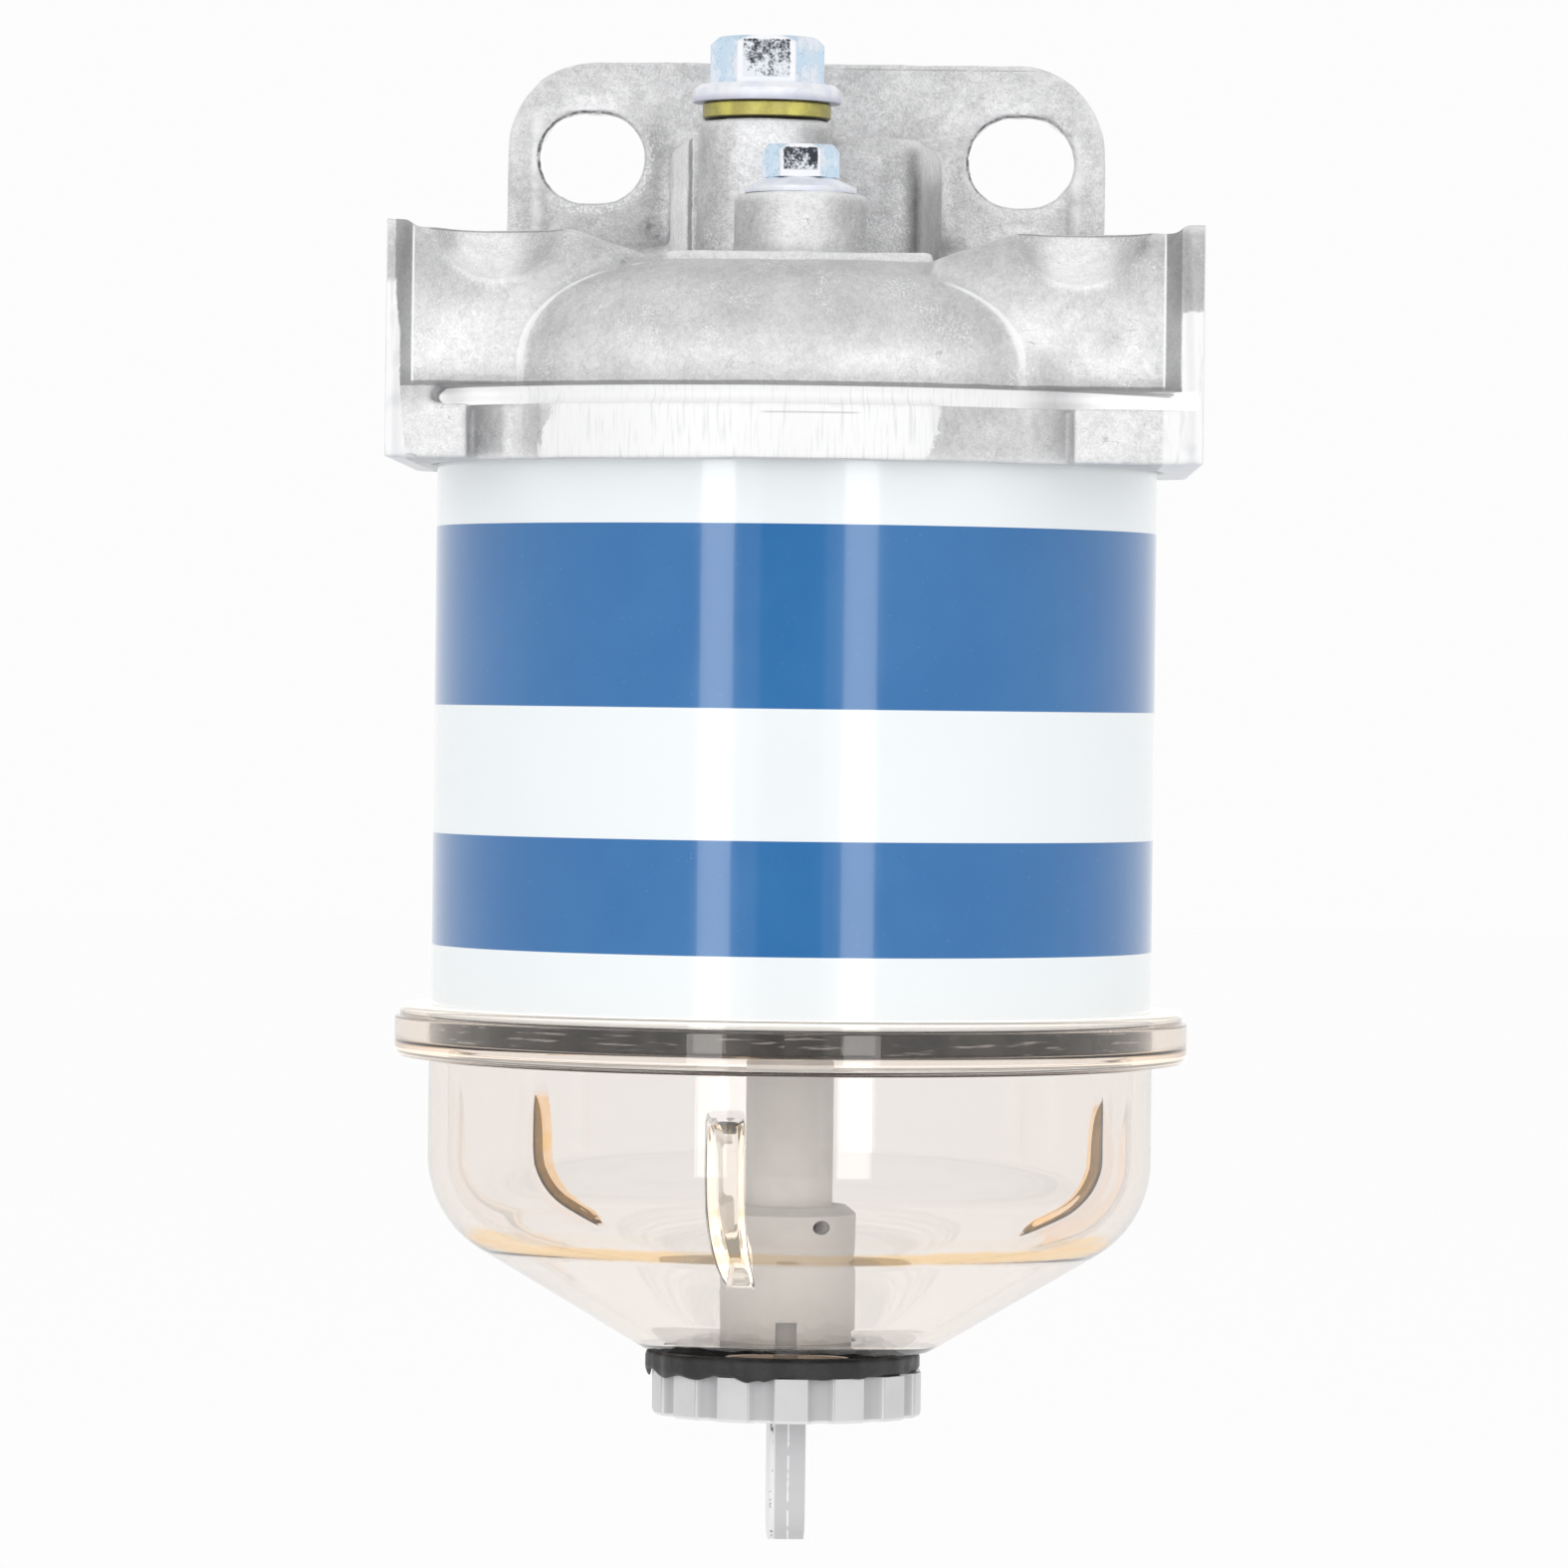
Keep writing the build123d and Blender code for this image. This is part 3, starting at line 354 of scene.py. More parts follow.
def with_modifier(piece, kind, **settings):
    """Puts a modifier on the piece and applies it at once."""
    modifier = piece.modifiers.new(kind.lower(), kind)
    for key, value in settings.items():
        setattr(modifier, key, value)
    mesh = bpy.data.meshes.new_from_object(piece.evaluated_get(bpy.context.evaluated_depsgraph_get()))
    piece.modifiers.clear()
    piece.data = mesh


def skin_tone_and_painted_light(places):
    """How pale the skin is drawn at each point, by the zone of the casting that it lies on: its tone together
    with painted light and shade, as on the bosses lit in front and shaded at the sides, the dome and blocks
    lighter lower down with a painted shadow strip at their foot, and the pad with its left side lit and its
    right side wall shaded. Each zone has a start value and soft spots that each change the value as a bell
    round a centre, seen from the front. Later zones win."""
    x, y, z = (places / mm).T
    outer = np.abs(x)

    def spots(rows):
        """The sum of bells, each given as its centre's x and z, its reach both ways and its height."""
        return sum(high * np.exp(-(((x - mid_x) / wide) ** 2) - ((z - mid_z) / tall) ** 2)
                   for mid_x, mid_z, wide, tall, high in rows)

    # The pad: its left side painted light, its right side wall painted shade.
    pad = 0.70 + spots([(13.2, -7, 0.9, 14, -0.44)]) + (x < -14.2) * (0.20 * smooth_ramp(-z, 1.5, 6) - 0.03)
    pad -= 0.30 * smooth_ramp(x, 13.2, 13.8) * smooth_ramp(-z, 0.5, 5.0)
    # The bosses: painted light in front, painted shade at the sides.
    vent_boss = 0.87 - 0.39 * smooth_ramp(np.abs(x + 4.9) / 8.0, 0.25, 0.95)
    centre_boss = 0.84 - 0.38 * smooth_ramp(np.abs(x - 0.2) / 8.0, 0.2, 0.9)
    # The dome and blocks: lighter lower down, with a painted shadow strip at their foot.
    low_strip = smooth_ramp(-z, 29.2, 30.4)
    dome = 0.50 + 0.10 * smooth_ramp(-z, 17, 21) + 0.08 * smooth_ramp(-z, 23, 27) - 0.14 * low_strip
    block = 0.49 + 0.15 * smooth_ramp(-z, 16.5, 20.5) + 0.20 * smooth_ramp(-z, 20, 24.5) - 0.34 * low_strip
    block -= 0.07 * smooth_ramp(27.0 - outer, 0, 6) * smooth_ramp(-z, 26, 28)
    off_face = np.abs(y - np.where(x < 0, left_face_y, right_face_y) / mm)
    below = z < -33.2
    zones = (
        ((y < -9) & (z > -17) & (z < -12.6) & (outer > 15) & (outer < 29), 0.56),
        (below & (y < -60), 0.62),
        (below & (outer > 32.4) & (off_face < 0.6), 0.79),
        ((y < -60) & (z < -14) & ~below, dome + spots(dome_spots)),
        ((off_face < 0.5) & (z > -31.4) & (outer > 15), block + spots(block_spots)),
        ((z > -16.0) & (z < -13.4) & (outer < 16.4) & (y < -56), 0.80),
        ((x > 43.4) & (z > -22) & (y < -60), 0.44),
        (y > -9.0, 0.69 + spots(flange_spots)),
        ((outer < 17.4) & (y > -33) & (y < -7.2) & (z > -15) & (z < 0.2), pad),
        ((np.hypot(x + 4.5, y + 33.0) < 9.0) & (z > -13.9), vent_boss),
        ((np.hypot(x, y + 51.0) < 8.5) & (z > -13.9), centre_boss),
    )
    pale = np.full(len(x), 0.64)
    for inside, value in zones:
        pale = np.where(inside, value, pale)
    return pale


def scoop_distance(places):
    """How far each point is outside the balls that hollow the blocks' top edges, less than 0 inside them."""
    left, right = (np.linalg.norm(places - np.array(middle) * mm, axis=1) - radius * mm
                   for *middle, radius in scoop_balls)
    return np.where(places[:, 0] < 0, left, right)


def scoop_painted_light(places):
    """Painted light inside the scoops: pale in the middle, falling off as a steep bell to both sides, with
    painted shade under the back rim and a dark spot at each scoop's outer end."""
    x, y, z = (places / mm).T
    across = np.where(x < 0, (x + 36.2) / 4.6, (x - 32.6) / 4.4)
    pale = 0.50 + 0.46 * np.exp(-(across**4)) * (1 - 0.45 * smooth_ramp(z, -14.6, -13.4))
    return pale - 0.24 * np.exp(-(((np.abs(x) - 40.1) / 0.9) ** 2) - ((z + 14.6) / 1.2) ** 2)


def bells(places, spots):
    """Bells round spots given as (x, y, z, reach) in mm: 1 at each middle, falling off with distance."""
    total = np.zeros(len(places))
    for *middle, reach in spots:
        away = np.linalg.norm(places / mm - np.array(middle), axis=1)
        total += np.exp(-((away / reach) ** 2))
    return np.clip(total, 0, 1)


def even_head():
    """The head's CAD surface, welded and remade as even small faces."""
    merged = bmesh.new()
    merged.from_mesh(nodes["filter_head"].data)
    bmesh.ops.remove_doubles(merged, verts=merged.verts, dist=0.002 * mm)
    mesh = bpy.data.meshes.new("cast_head")
    merged.to_mesh(mesh)
    merged.free()
    piece = add_object("cast_head", mesh)
    with_modifier(piece, "REMESH", mode="VOXEL", voxel_size=head_voxel, adaptivity=0.0)
    return piece


def round_skin(piece):
    """Draws each point towards the mean of its neighbours again and again, more where the skin is cast than
    where it is machined. The step between the web and the border is filled, small waves are added along the
    normals, and the back is kept flat against the wall."""
    places, normals, ends = mesh_arrays(piece.data)
    x, y, z = places.T
    radius = np.hypot(x, y - axis_y)
    cast = smooth_ramp(z, groove_top - 0.6 * mm, groove_top + 0.4 * mm)
    flute = (y < axis_y) & (radius < rim_radius - 0.3 * mm) & (radius > rim_radius - 3.0 * mm)
    lug = radius > rim_radius + 0.5 * mm
    cast = np.maximum(cast, 0.8 * (lug | flute))
    cast *= 1 - smooth_ramp(np.abs(x), rim_radius - 0.6 * mm, rim_radius - 0.2 * mm)
    cast *= 1 - smooth_ramp(y, -0.7 * mm, -0.2 * mm)
    for step in range(cast_rounding):
        pull = np.where(step < machined_rounding, 0.5, 0.5 * cast)
        places += (neighbour_mean(places, ends) - places) * pull[:, None]
    on_web = (y < web_y + 0.3 * mm) & (y > border_y - 0.3 * mm)
    on_web &= (np.abs(x) < web_half_width) & (z > -mm)
    filled_y = web_y + (border_y - web_y) * smooth_ramp(z, -mm, 6.5 * mm)
    y[:] = np.where(on_web, np.minimum(y, filled_y), y)
    in_slot = np.abs(np.hypot(np.abs(x) - slot_pitch / 2, z * 1.15) - slot_rim_radius) < 1.2 * mm
    rough_rim = in_slot & (y > -8.5 * mm)
    lift = waves(places, 9 * mm, 1) * 0.07 * mm + waves(places, 2.6 * mm, 2) * 0.025 * mm
    lift += rough_rim * (waves(places, 3.0 * mm, 3) * 0.10 * mm + waves(places, 1.2 * mm, 4) * 0.05 * mm)
    places += normals * (lift * (0.15 + 0.85 * cast) - 0.05 * mm)[:, None]
    y[:] = np.minimum(y, 0.0)
    piece.data.vertices.foreach_set("co", places.astype(np.float32).ravel())
    piece.data.update()
    piece.data.calc_loop_triangles()
    share = head_triangles / len(piece.data.loop_triangles)
    with_modifier(piece, "DECIMATE", decimate_type="COLLAPSE", ratio=min(share, 1.0))
    piece.data.shade_smooth()


def store_skin_masks(piece):
    """Keeps how sharply each point stands out or lies in, for a painted highlight on convex edges and painted
    shade in hollows, how pale it is drawn with its tone and painted light and shade, where light is painted
    on as glints and glow, and how dirty.
    """
    places, normals, ends = mesh_arrays(piece.data)
    x, y, z = places.T
    lengths = np.linalg.norm(places[ends[:, 0]] - places[ends[:, 1]], axis=1)
    reach = np.bincount(ends.ravel(), np.repeat(lengths, 2), len(places))
    reach /= np.bincount(ends.ravel(), minlength=len(places)).clip(1)
    bend = np.einsum("ij,ij->i", places - neighbour_mean(places, ends), normals) / reach**1.5 * math.sqrt(mm)
    bend = soften(bend, ends) * 5
    to_scoop = np.abs(scoop_distance(places))
    scoop = 1 - smooth_ramp(to_scoop, 0.25 * mm, 0.75 * mm)
    # The pad's left side gets painted light.
    pad_side = (x < -14.2 * mm) & (x > -17.4 * mm) & (y < -7.2 * mm)
    pad_side &= (y > -33.0 * mm) & (z > -14.5 * mm)
    pale = skin_tone_and_painted_light(places)
    pale += (scoop_painted_light(places) - pale) * scoop
    # Painted light on the scoops, on the pad's left side and at the painted glints.
    painted_light_spots = np.maximum(0.5 * scoop, np.maximum(pad_side, bells(places, glint_spots)))
    # edge holds a painted highlight on convex edges, hollow a painted shade in hollows.
    store_mask(piece.data, "edge", np.clip(bend, 0, 1) * smooth_ramp(to_scoop, 0.6 * mm, 1.6 * mm))
    store_mask(piece.data, "hollow", np.clip(-bend, 0, 1))
    store_mask(piece.data, "tone_and_painted_light", soften(pale, ends))
    store_mask(piece.data, "painted_light_spots", painted_light_spots)
    store_mask(piece.data, "dirt", bells(places, dirt_spots))


def mix(share, first, second):
    """A colour between two colours."""
    return output(share.tree, "Mix", {0: share, 6: first, 7: second}, 2, data_type="RGBA", blend_type="MIX")


def mix_value(share, first, second):
    """A value between two values."""
    return output(share.tree, "Mix", {0: share, 2: first, 3: second}, data_type="FLOAT")


def noise(place, scale, detail=2.0, roughness=0.5):
    """Soft noise at this place, with about scale blots in a metre."""
    inputs = {"Vector": place, "Scale": scale, "Detail": detail, "Roughness": roughness}
    return output(place.tree, "TexNoise", inputs)


def cells(place, scale):
    """Distance to the nearest of points strewn at this place, about scale of them in a metre."""
    return output(place.tree, "TexVoronoi", {"Vector": place, "Scale": scale}, "Distance")


def bump(height, depth, strength):
    """A normal tilted by a height, where depth is how far in metres a height of 1 stands up."""
    return output(height.tree, "Bump", {"Height": height, "Distance": depth, "Strength": strength})


def grain_group():
    """Shared surface grain: soft noise at two sizes, with small pits. Puts out a height, broad stains and
    flecks."""
    group = bpy.data.node_groups.new("surface_grain", "ShaderNodeTree")
    for name, default in (("Grain Scale", 1500.0), ("Stain Scale", 90.0)):
        socket = group.interface.new_socket(name, in_out="INPUT", socket_type="NodeSocketFloat")
        socket.default_value = default
    given = group.nodes.new("NodeGroupInput").outputs
    grain_scale, stain_scale = (Output(group, given[name]) for name in ("Grain Scale", "Stain Scale"))
    place = output(group, "TexCoord", pick="Object")
    fine = noise(place, grain_scale, 3.0, 0.6)
    broad = noise(place, stain_scale, 3.0, 0.55)
    pit = ramp(cells(place, grain_scale * 0.45), 0.05, 0.35)
    made = {
        "Height": fine * 0.7 + pit * 0.3,
        "Stain": ramp(broad, 0.42, 0.66),
        "Fleck": ramp(fine, 0.60, 0.74),
    }
    for name in made:
        group.interface.new_socket(name, in_out="OUTPUT", socket_type="NodeSocketFloat")
    result = group.nodes.new("NodeGroupOutput").inputs
    for name, value in made.items():
        group.links.new(value.socket, result[name])
    return group


surface_grain = grain_group()


def grain(tree, grain_scale, stain_scale):
    """The shared grain at these scales, by the names of its outputs."""
    made = tree.nodes.new("ShaderNodeGroup")
    made.node_tree = surface_grain
    made.inputs["Grain Scale"].default_value = grain_scale
    made.inputs["Stain Scale"].default_value = stain_scale
    return {socket.name: Output(tree, socket) for socket in made.outputs}


def attribute(tree, name):
    """The value that store_mask kept on the piece under this name."""
    return output(tree, "Attribute", pick="Fac", attribute_name=name, attribute_type="GEOMETRY")


def coordinates(tree):
    """The place on the piece and its three coordinates."""
    place = output(tree, "TexCoord", pick="Object")
    return place, *(Output(tree, socket) for socket in add_node(tree, "SeparateXYZ", [place]).outputs)


def axis_radius(x, y):
    """Distance from the filter's axis."""
    depth = y - axis_y
    return (x * x + depth * depth).step("SQRT")


def axis_angle(x, y):
    """Angle round the filter's axis, 0 straight behind it."""
    return x.step("ARCTAN2", y - axis_y)


def line_at(value, middle, half_width, soft):
    """1 where the value is within half_width of the middle, falling to 0 over the soft width."""
    return fall(abs(value - middle), half_width, half_width + soft)


def band(value, low, high, soft):
    """1 from low to high, falling to 0 over the soft width outside."""
    return ramp(value, low - soft, low) * fall(value, high, high + soft)


def wandering(place, scale, reach):
    """Noise at this place as a length from about minus half the reach to plus half of it."""
    return (noise(place, scale, 4.0, 0.7) - 0.5) * reach


def milled_parts(tree):
    """Masks of the groove and of all the machined faces: the rim between the flutes, the groove, the port
    faces and the lower fronts of the two end plates, the rim and the plates with a ragged edge against the
    cast skin."""
    place, x, y, z = coordinates(tree)
    radius = axis_radius(x, y)
    outer = abs(x)
    in_front = fall(y, axis_y - 2 * mm, axis_y + 2 * mm)
    rim_x = x + wandering(place, 700.0, 3.2 * mm) + (z + 36.5 * mm) * -0.35
    open_rim = mix_value(in_front, 1.0, band(rim_x, *rim_arc, 0.4 * mm))
    rim = band(radius, rim_radius - 0.3 * mm, rim_radius + 0.4 * mm, 0.3 * mm) * open_rim
    rim = rim * fall(z, groove_base - 0.2 * mm, groove_base + 0.1 * mm)
    off_middle = z - (groove_top + groove_base) / 2
    tip_x = x + off_middle * off_middle * (-1.0 / mm)
    groove = band(z, groove_base, groove_top - 0.15 * mm, 0.2 * mm) * in_front
    groove = groove * ramp(tip_x, groove_tip_x, groove_tip_x + 0.4 * mm) * fall(outer, 46.3 * mm, 46.7 * mm)
    port_face = ramp(outer, rim_radius - 0.25 * mm, rim_radius - 0.12 * mm)
    right_z = z + wandering(place, 260.0, mm) * 1.6
    edge_x, top = right_plate
    low_right = ramp(x, edge_x, edge_x + 0.2 * mm) * fall(right_z, top, top + 0.4 * mm)
    beside_groove = ramp(x, 42.4 * mm, 42.8 * mm) * fall(z, groove_top - 0.3 * mm, groove_top)
    left_x = x + (z + 19.0 * mm) * 0.05 + wandering(place, 260.0, mm) * 1.2
    edge_x, top = left_plate
    low_left = fall(left_x, edge_x, edge_x + 0.3 * mm) * fall(z, top, top + mm)
    return groove, either(rim, groove, port_face, low_right, beside_groove, low_left)


def slot_distance(x, z):
    """How far a point of the flange is from the middle line of the nearer slot."""
    beyond = either(abs(abs(x) - slot_pitch / 2) - mm, 0.0)
    return (beyond * beyond + z * z).step("SQRT")


def upper_left(x, z):
    """1 at a slot's upper left, -1 at its lower right, by the place round the slot's middle."""
    centre = mix_value(ramp(x, -mm, mm), -slot_pitch / 2, slot_pitch / 2)
    return (z - (x - centre)) / (8.0 * mm)


def painted_highlight_lines(tree):
    """Painted highlight lines: the arcs where the dome meets the blocks, the inner edges of the flange's
    borders, glints at the lower right of each slot, the pad's left corner and the edges beside the plates."""
    place, x, y, z = coordinates(tree)
    radius = axis_radius(x, y)
    outer = abs(x)
    above = either(z - (dome_crown - dome_shoulder), 0.0)
    crown = either(dome_shoulder**2 - above * above, 0.0).step("SQRT") + (dome_radius - dome_shoulder)
    face_y = mix_value(ramp(x, -mm, mm), left_face_y, right_face_y)
    arc = line_at(radius, crown, 0.12 * mm, 0.14 * mm) * line_at(y, face_y, 0.20 * mm, 0.2 * mm)
    arc = arc * ramp(outer, 16 * mm, 20 * mm)
    arc = arc * ramp(z, groove_top + 0.8 * mm, groove_top + 4.0 * mm, 0.25, 0.75)
    ridge = line_at(outer + wandering(place, 150.0, 1.2 * mm), web_half_width, 0.25 * mm, 0.8 * mm)
    ridge = ridge * ramp(y, -9 * mm, -8.6 * mm) * band(z, -7 * mm, 3 * mm, 3.5 * mm)
    ridge = ridge * ramp(noise(place, 330.0, 3.0, 0.6), 0.35, 0.60, 0.25, 1.0) * 0.9
    ring_off = slot_distance(x, z) + wandering(place, 500.0, mm) * 1.2
    ring = line_at(ring_off, slot_rim_radius, 0.30 * mm, 0.40 * mm) * ramp(y, *flange_fronts)
    ring = ring * ramp(upper_left(x, z), -0.6, 0.6, 1.0, 0.15)
    ring = ring * ramp(noise(place, 2600.0, 2.0, 0.6), 0.50, 0.58) * 0.8
    corner = line_at(x + wandering(place, 300.0, 0.5 * mm), pad_corner_x + 0.35 * mm, 0.03 * mm, 0.08 * mm)
    corner = corner * band(y, -31 * mm, -28 * mm, 0.5 * mm) * ramp(z, -15 * mm, -14 * mm) * 0.6
    step = either(*(line_at(x, middle, 0.05 * mm, 0.12 * mm) for middle in step_lines))
    step = step * ramp(z, groove_top, groove_top + 0.4 * mm) * fall(y, *plate_fronts) * 0.8
    return either(arc, ridge, ring, corner, step)


def painted_shade_and_cutter_marks(tree, blot):
    """Painted shade lines at the foot of dome and blocks, the steps beside the plates, the upper left of each
    slot, the flange's top edge, the scoops' back rims and the pad's left corner, and apart from them the two
    cutter marks on the rim."""
    place, x, y, z = coordinates(tree)
    radius = axis_radius(x, y)
    foot = line_at(z + wandering(place, 260.0, mm) * 0.3, groove_top + 0.22 * mm, 0.20 * mm, 0.18 * mm)
    foot = foot * fall(y, -62 * mm, -60 * mm) * 0.62
    step = either(*(line_at(x, middle * mm, half * mm, 0.25 * mm) for middle, half in step_feet))
    step = step * ramp(z, groove_top - 0.1 * mm, groove_top + 0.2 * mm)
    step = step * fall(y, *plate_fronts) * 0.60
    rim_off = slot_distance(x, z) + wandering(place, 420.0, mm) * 0.5
    outline = line_at(rim_off, 5.65 * mm, 0.10 * mm, 0.20 * mm)
    outline = outline * ramp(y, *flange_fronts) * fall(y, -5.4 * mm, -5.0 * mm)
    outline = outline * ramp(blot, 0.40, 0.54, 0.25, 1.0) * ramp(upper_left(x, z), -0.5, 0.7, 0.25, 1.0)
    top_line = line_at(z, 11.35 * mm, 0.03 * mm, 0.07 * mm) * ramp(y, -8 * mm, -7.5 * mm)
    top_line = top_line * band(x, 6 * mm, 26 * mm, 4 * mm) * ramp(blot, 0.40, 0.5) * 0.5
    back_rim = attribute(tree, "painted_light_spots") * line_at(z, -13.15 * mm, 0.06 * mm, 0.10 * mm)
    back_rim = back_rim * ramp(y, -40 * mm, -60 * mm) * 1.2
    corner = line_at(x + wandering(place, 300.0, 0.5 * mm), pad_corner_x, 0.12 * mm, 0.25 * mm)
    corner = corner * band(y, -31 * mm, -27 * mm, 0.5 * mm) * ramp(z, -15 * mm, -14 * mm) * 0.62
    marks = either(*(
        line_at(z, high * mm, half * mm, 2 * half * mm) * band(x, start * mm, end * mm, 1.5 * mm) * 0.45
        for high, half, start, end in cutter_marks
    ))
    marks = marks * ramp(radius, rim_radius - 0.6 * mm, rim_radius - 0.3 * mm)
    return either(foot, step, outline, top_line, back_rim, corner), marks * ramp(y, axis_y, axis_y - mm)


def head_finish():
    """Cast skin, drawn pale by place with its tone and painted light and shade, with smears, painted sparkle,
    scratches, dirt, a painted highlight on convex edges, painted shade in hollows, painted highlight and
    shade lines and a painted glow in places, and bright machined faces with upright cutter lines."""
    finish = Finish("cast_and_milled_aluminium", (0.6, 0.6, 0.6, 1), 0.5, emission_strength=1.0)
    tree = finish.tree
    place, x, y, z = coordinates(tree)
    angle = axis_angle(x, y)
    skin = grain(tree, 2600.0, 95.0)
    groove, machined = milled_parts(tree)

    # Cast skin: a grey by place that carries painted light and shade, broken up by blots and smears
    blot = noise(place, 1250.0, 5.0, 0.75)
    fine = noise(place, 3600.0, 2.0, 0.6)
    smear = noise(place, 160.0, 4.0, 0.65)
    stain = noise(place, 130.0, 5.0, 0.7)
    uneven = ramp(blot, 0.32, 0.68, -0.06, 0.05) + ramp(smear, 0.3, 0.7, -0.05, 0.05)
    uneven = uneven + ramp(fine, 0.3, 0.7, -0.06, 0.05) + ramp(stain, 0.495, 0.515, -0.02, 0.02)
    uneven = uneven * ramp(y, -62 * mm, -54 * mm, 1.4, 2.1)
    tone = attribute(tree, "tone_and_painted_light") * (uneven + 1.0)
    colour = output(tree, "CombineColor", [tone, tone, tone * 1.008])

    # Painted sparkle in patches and on the painted-light spots, dark specks and short scratches, and dirt in
    # the valleys
    patch = ramp(noise(place, 210.0, 3.0, 0.6), 0.54, 0.66)
    painted_light_spots = attribute(tree, "painted_light_spots")
    sparkle = ramp(fine, 0.52, 0.62) * either(patch, painted_light_spots) * 0.42
    colour = mix(sparkle, colour, (0.95, 0.95, 0.96, 1))
    speck = fall(cells(place, 620.0), 0.06, 0.14) * fall(blot, 0.38, 0.46) * 0.65
    drawn = output(tree, "Mapping", {"Vector": place, "Scale": (0.35, 1.0, 1.0), "Rotation": (0, 0.5, 0)})
    scratch = line_at(noise(drawn, 420.0), 0.5, 0.0015, 0.005) * ramp(smear, 0.50, 0.60) * 0.40
    colour = mix(either(speck, scratch), colour, (0.24, 0.24, 0.25, 1))
    soiled = attribute(tree, "dirt") * ramp(blot, 0.40, 0.56, 0.90, 0.20)
    colour = mix(soiled, colour, (0.22, 0.22, 0.23, 1))

    # Painted highlight on convex edges, painted shade in hollows, the slots' inner walls painted pale, and
    # the drawn lines of painted highlight and painted shade
    colour = mix(attribute(tree, "edge") * 0.60, colour, (0.88, 0.88, 0.89, 1))
    colour = mix(attribute(tree, "hollow") * ramp(z, 0.0, 5.0 * mm, 0.7, 0.1), colour, (0.34, 0.34, 0.35, 1))
    # The slots' inner walls are painted pale, with a painted glow below.
    inside_slot = fall(slot_distance(x, z), 5.5 * mm, 5.7 * mm) * ramp(y, web_y + 0.1 * mm, web_y + 0.5 * mm)
    colour = mix(inside_slot, colour, (0.93, 0.93, 0.94, 1))
    colour = mix(painted_highlight_lines(tree), colour, (0.95, 0.95, 0.955, 1))
    # Painted shade lines on the skin, and the cutter marks for the machined faces.
    lines, marks = painted_shade_and_cutter_marks(tree, blot)
    colour = mix(lines, colour, (0.13, 0.13, 0.135, 1))

    # Cutter lines on the machined faces
    streak_place = output(tree, "CombineXYZ", [angle * rim_radius, z * 0.06, 0.0])
    streak = noise(streak_place, 2600.0, 2.0, 0.6)
    milled = mix(ramp(streak, 0.30, 0.50, 0.40, 0.0), (0.90, 0.90, 0.905, 1), (0.60, 0.61, 0.62, 1))
    milled = mix(marks, milled, (0.30, 0.30, 0.31, 1))

    # Painted glow, standing in for light that bounces about, in the groove's ends, in the scoops, on the
    # pad's left side and glints, and in the slots
    deep = groove * ramp(abs(x), 29 * mm, 37 * mm, 0.0, 0.50)
    deep = deep * ramp(z, groove_top - 0.9 * mm, groove_top - 0.1 * mm, 1.0, 0.45)
    lifted = either(deep, painted_light_spots * 0.06, inside_slot * 0.25)
    cast_bump = bump(skin["Height"] + blot * 0.6, 0.13 * mm, 0.7)
    normals = {0: machined, 4: cast_bump, 5: bump(streak, 0.03 * mm, 0.5)}
    finish.feed(
        base_color=mix(machined, colour, milled),
        metallic=ramp(machined, 0.0, 1.0, 0.28, 0.15),
        roughness=ramp(skin["Fleck"], 0.0, 1.0, 0.50, 0.34),
        emission_color=mix(lifted, black, white),
        normal=output(tree, "Mix", normals, 1, data_type="VECTOR"),
    )
    return finish


head_piece = even_head()
round_skin(head_piece)
store_skin_masks(head_piece)
dress(head_finish(), head_piece)
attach(head_piece, "head")
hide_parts("filter_head")

# Vent plug, its washer and the centre bolt: turned steel hexagon screws, bright zinc plated with a blue tint,
# and a soft washer passivated yellow. The plug screws into the tall boss, the bolt holds can and bowl up.
zinc_blue = (0.60, 0.75, 0.89, 1)
zinc_pale = (0.80, 0.84, 0.91, 1)
zinc_lilac = (0.80, 0.82, 0.90, 1)
zinc_bright = (0.90, 0.91, 0.95, 1)
thread_pitch = 1.25 * mm
plug_middle_x = -4.5 * mm
plug_shape = {"middle_x": plug_middle_x, "flat_y": -39.0 * mm, "flat_middle": 10.3 * mm,
              "flat_half_width": 2.75 * mm, "flat_half_height": 2.2 * mm, "flange_top": 7.4 * mm,
              "shank_top": 3.0 * mm, "darkness": 0.39}
bolt_shape = {"middle_x": 0.0, "flat_y": -55.0 * mm, "flat_middle": -2.8 * mm,
              "flat_half_width": 1.95 * mm, "flat_half_height": 1.25 * mm, "flange_top": -5.0 * mm,
              "shank_top": -7.7 * mm, "darkness": 0.46}
washer_base, washer_top = (corner.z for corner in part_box("vent_plug_washer"))


